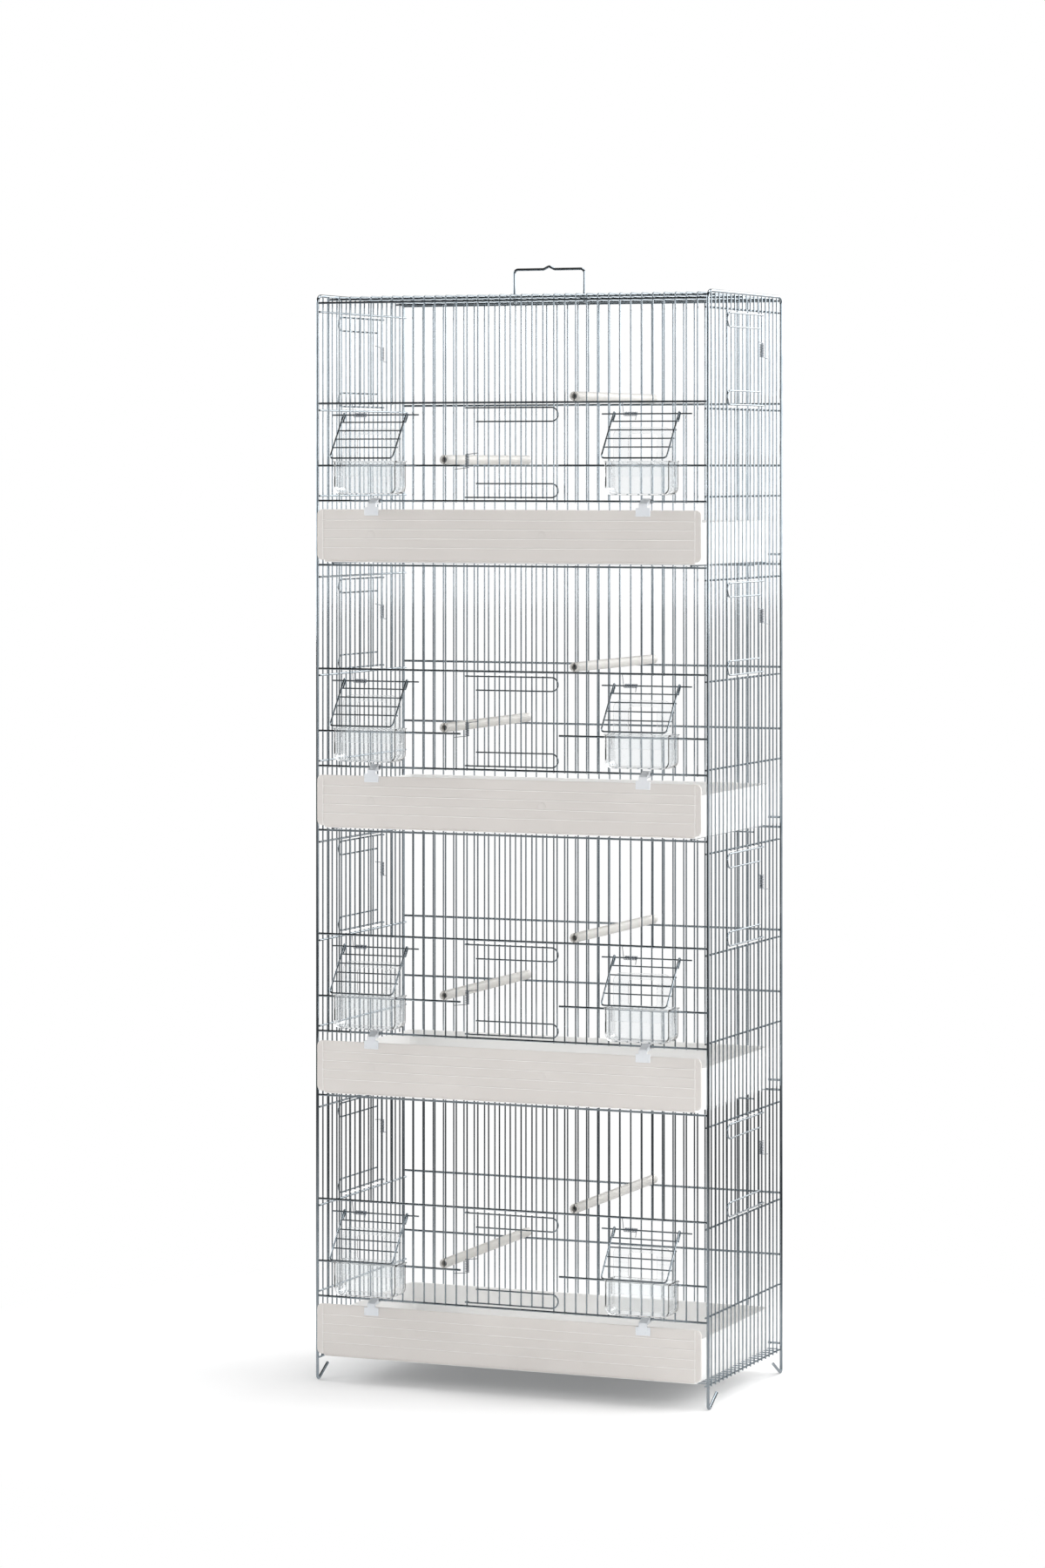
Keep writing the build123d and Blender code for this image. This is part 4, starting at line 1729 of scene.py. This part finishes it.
@dataclass(frozen=True)
class Perches:
    """Hollow perches, notched over the bars and resting on the rails."""

    diameter: float = 0.0124
    bore: float = 0.0076
    overhang: float = 0.0035
    rim: float = 0.0006
    sides: int = 32

    def tube(self, middle: Vector, shape: bmesh.types.BMesh) -> None:
        """Adds one tube with rounded rims, centred on a spot.

        Args:
            middle: The spot.
            shape: Shape that gets the tube.
        """
        half = PLAN.post_y + self.overhang
        outer = self.diameter / 2
        inner = self.bore / 2
        corner = half - self.rim
        end = [(inner, corner), (inner + self.rim, half)]
        end += [(outer - self.rim, half), (outer, corner)]
        section = [(radius, -y) for radius, y in end] + end[::-1]
        rings = []
        for radius, y in section:
            ring = []
            for n in range(self.sides):
                angle = 2 * math.pi * n / self.sides
                offset = Vector((radius * math.cos(angle), y, radius * math.sin(angle)))
                ring.append(shape.verts.new(middle + offset))
            rings.append(ring)
        for ring, following in zip(rings, rings[1:] + rings[:1]):
            for n in range(self.sides):
                ahead = (n + 1) % self.sides
                shape.faces.new((ring[n], ring[ahead], following[ahead], following[n]))

    def notched(self, x: float, drop: float) -> Mesh:
        """Builds a perch a tier, with a notch over the bar at each end.

        Args:
            x: Place of the perches.
            drop: From a tier's top rail down to the rail under its perch.

        Returns:
            A plain mesh of all of them.
        """
        rise = GAUGE.rail / 2 + PLAN.weld_gap + self.diameter / 2
        spots = [Vector((x, 0, top - drop + rise)) for top in PLAN.tops]
        shape = bmesh.new()
        for spot in spots:
            self.tube(spot, shape)
        bmesh.ops.recalc_face_normals(shape, faces=shape.faces)
        cutter = self.notches(spots)
        holder = scene_object("holder", mesh_of(shape, "perches", Slot.PERCH))
        cut = holder.modifiers.new("notches", "BOOLEAN")
        cut.operation = "DIFFERENCE"
        cut.solver = "EXACT"
        cut.object = cutter
        result = baked(holder, cutter)
        sharpen(result)
        return result

    def notches(self, spots: Sequence[Vector]) -> bpy.types.Object:
        """Makes the boxes that cut the notches.

        Args:
            spots: Middles of the perches.

        Returns:
            An object with two boxes for each perch.
        """
        width = GAUGE.bar + 2 * PLAN.running_gap
        start = PLAN.bar_y - GAUGE.bar / 2 - PLAN.running_gap
        end = PLAN.post_y + 2 * self.overhang
        shape = bmesh.new()
        for spot in spots:
            for sign in (-1, 1):
                corner = bmesh.ops.create_cube(shape, size=1.0)["verts"]
                bmesh.ops.scale(shape, vec=(width, end - start, 2 * self.diameter), verts=corner)
                middle = spot + Vector((0, sign * (start + end) / 2, 0))
                bmesh.ops.translate(shape, vec=middle, verts=corner)
        return scene_object("notches", mesh_of(shape, "notches", Slot.PERCH))

    def build(self) -> None:
        """Builds the pieces."""
        x = PLAN.pitch * PLAN.perch_gaps
        upper = self.notched(x, PLAN.mid_drop)
        set_piece("upper_perches", Form.TUBE, upper)
        lower = self.notched(-x, PLAN.door_drop)
        set_piece("lower_perches", Form.TUBE, lower)


@dataclass(frozen=True)
class Softbox:
    """A large soft lamp that looks at a spot on the cage."""

    name: str
    place: Point
    aim: Point
    size: Pair
    power: float

    def build(self) -> None:
        """Adds the lamp."""
        lamp = bpy.data.lights.new(self.name, "AREA")
        lamp.shape = "RECTANGLE"
        lamp.size, lamp.size_y = self.size
        lamp.energy = self.power
        holder = scene_object(self.name, lamp)
        holder.location = self.place
        look = Vector(self.aim) - Vector(self.place)
        holder.rotation_euler = look.to_track_quat("-Z", "Y").to_euler()


@dataclass(frozen=True)
class Studio:
    """White floor, white surroundings, soft lamps and the camera."""

    floor_size: float = 60.0
    floor_colour: Colour = (0.88, 0.88, 0.88)
    floor_roughness: float = 0.9
    floor_glow: float = 0.15
    floor_behind: Pair = (0.3, 3.0)
    floor_beside: Pair = (2.0, 6.0)
    shadow_reach: Pair = (0.3, 0.95)
    room_fill: float = 0.66
    front_fill: float = 0.45
    fill_reach: Pair = (-0.6, 0.4)
    room_behind: Pair = (0.25, 0.9)
    room_beside: Pair = (-0.1, 0.4)
    front_gloom: float = 0.06
    floor_gloom: float = 0.12
    near_shine: float = 0.8
    near_reach: Pair = (0.4, 2.2)
    ceiling_gloom: float = 0.12
    ceiling_reach: Pair = (0.05, 0.25)
    camera_place: Point = (2.431, -5.965, 1.205)
    camera_turn: float = 22.5
    sensor: float = 36.0
    lens: float = 111.5
    shift_down: float = 0.2017
    view_limit: float = 100.0
    lamps: tuple[Softbox, ...] = (
        Softbox("left_light", (-2.8, -0.4, 1.85), (0, 0, 1.0), (1.6, 1.9), 54.0),
        Softbox("right_light", (2.8, 0.3, 1.85), (0, 0, 1.0), (1.6, 1.9), 50.0),
        Softbox("top_light", (1.1, 0.8, 5.4), (0, 0, 0.6), (2.6, 3.2), 140.0),
        Softbox("back_light", (1.2, 3.6, 2.2), (0, 0, 0.7), (2.4, 1.6), 46.0),
        Softbox("front_light", (2.6, -3.6, 2.6), (0, 0, 0.7), (1.4, 1.4), 28.0),
    )

    def around(self, shade: Shading, axes: Sockets, behind: Pair, beside: Pair) -> Socket:
        """Gives a level that is full behind the cage and on its right, and dim elsewhere.

        Args:
            shade: Node tree of the floor or of the surroundings.
            axes: Sockets X and Y of the coordinates.
            behind: Values of Y where the rise behind starts and ends.
            beside: Values of X where the rise on the right starts and ends.

        Returns:
            The level's socket.
        """
        levels = (self.front_gloom, 1.0)
        rises = shade.fade(axes["Y"], behind, levels), shade.fade(axes["X"], beside, levels)
        return shade.combine(Operation.MAXIMUM, *rises)

    def build_world(self) -> None:
        """Makes the surroundings: a white room, dim behind the camera for light and mirroring."""
        world = bpy.data.worlds.new("studio")
        world.use_nodes = True
        shade = Shading(world.node_tree)
        axes = shade.axes("Generated")
        around = self.around(shade, axes, self.room_behind, self.room_beside)
        ceiling = shade.fade(axes["Z"], self.ceiling_reach, (1.0, self.ceiling_gloom))
        mirrored = shade.combine(Operation.MULTIPLY, around, ceiling)
        lit = shade.fade(axes["Y"], self.fill_reach, (self.front_fill, self.room_fill))
        seen, glossy = shade.rays()
        level = shade.mix(seen, shade.mix(glossy, lit, mirrored), 1.0)
        background = world.node_tree.nodes["Background"]
        shade.feed(background, {"Color": (1.0, 1.0, 1.0, 1.0), "Strength": level})
        bpy.context.scene.world = world

    def build_floor(self) -> None:
        """Makes the pale floor, which keeps the cage's shadow and is white further off."""
        half = self.floor_size / 2
        corners = [(-half, -half, 0), (half, -half, 0), (half, half, 0), (-half, half, 0)]
        mesh = bpy.data.meshes.new("floor")
        mesh.from_pydata(corners, [], [(0, 1, 2, 3)])
        material, shade, shader = node_material("floor_paint")
        paint = {"Base Color": (*self.floor_colour, 1.0), "Roughness": self.floor_roughness}
        shade.feed(shader, paint)
        spot = shade.add("ShaderNodeTexCoord", {}).outputs["Object"]
        length = shade.add("ShaderNodeVectorMath", {0: spot}, operation="LENGTH").outputs["Value"]
        white = shade.fade(length, self.shadow_reach, (self.floor_glow, 1.0))
        near = shade.fade(length, self.near_reach, (self.near_shine, self.floor_gloom))
        far = self.around(shade, shade.axes("Object"), self.floor_behind, self.floor_beside)
        seen, glossy = shade.rays()
        level = shade.mix(glossy, 1.0, shade.combine(Operation.MAXIMUM, far, near))
        glow = shade.add("ShaderNodeEmission", {"Strength": level}).outputs["Emission"]
        lit = shade.combine(Operation.MULTIPLY, seen, white)
        share = shade.combine(Operation.MAXIMUM, lit, glossy)
        values = {"Fac": share, 1: shader.outputs["BSDF"], 2: glow}
        surface = shade.add("ShaderNodeMixShader", values).outputs["Shader"]
        shade.feed(material.node_tree.nodes["Material Output"], {"Surface": surface})
        mesh.materials.append(material)
        floor = scene_object("floor", mesh)

    def build_camera(self) -> None:
        """Sets the camera at the photograph's viewing angle."""
        camera = bpy.data.cameras.new("camera")
        camera.sensor_fit = "VERTICAL"
        camera.sensor_height = self.sensor
        camera.lens = self.lens
        camera.shift_y = -self.shift_down
        camera.clip_end = self.view_limit
        holder = scene_object("camera", camera)
        holder.location = self.camera_place
        holder.rotation_euler = (math.radians(90), 0, math.radians(self.camera_turn))
        bpy.context.scene.camera = holder

    def build(self) -> None:
        """Builds the studio."""
        bpy.context.scene.view_settings.view_transform = "Standard"
        self.build_world()
        self.build_floor()
        self.build_camera()
        for lamp in self.lamps:
            lamp.build()


def main() -> None:
    """Builds the cage's pieces and the studio in order."""
    logging.basicConfig(level=logging.INFO, format="%(message)s")
    tiers = PLAN.tier_numbers
    parts: list[Part] = [Studio(), BackGrille(), RoofGrille(), BottomGrille()]
    parts += [make(side) for side in Side for make in (SideFrame, SideGrille)]
    parts += [FrontGrille(tier) for tier in tiers]
    parts += [Shelf(tier) for tier in tiers[:-1]]
    parts += [Tray(tier) for tier in tiers]
    parts += [Perches(), Mouldings()]
    parts += [FeederFlap(tier, side) for tier in tiers for side in Side]
    parts += [Doors(), Springs(), CarryHandle()]
    for part in parts:
        part.build()


if __name__ == "__main__":
    main()
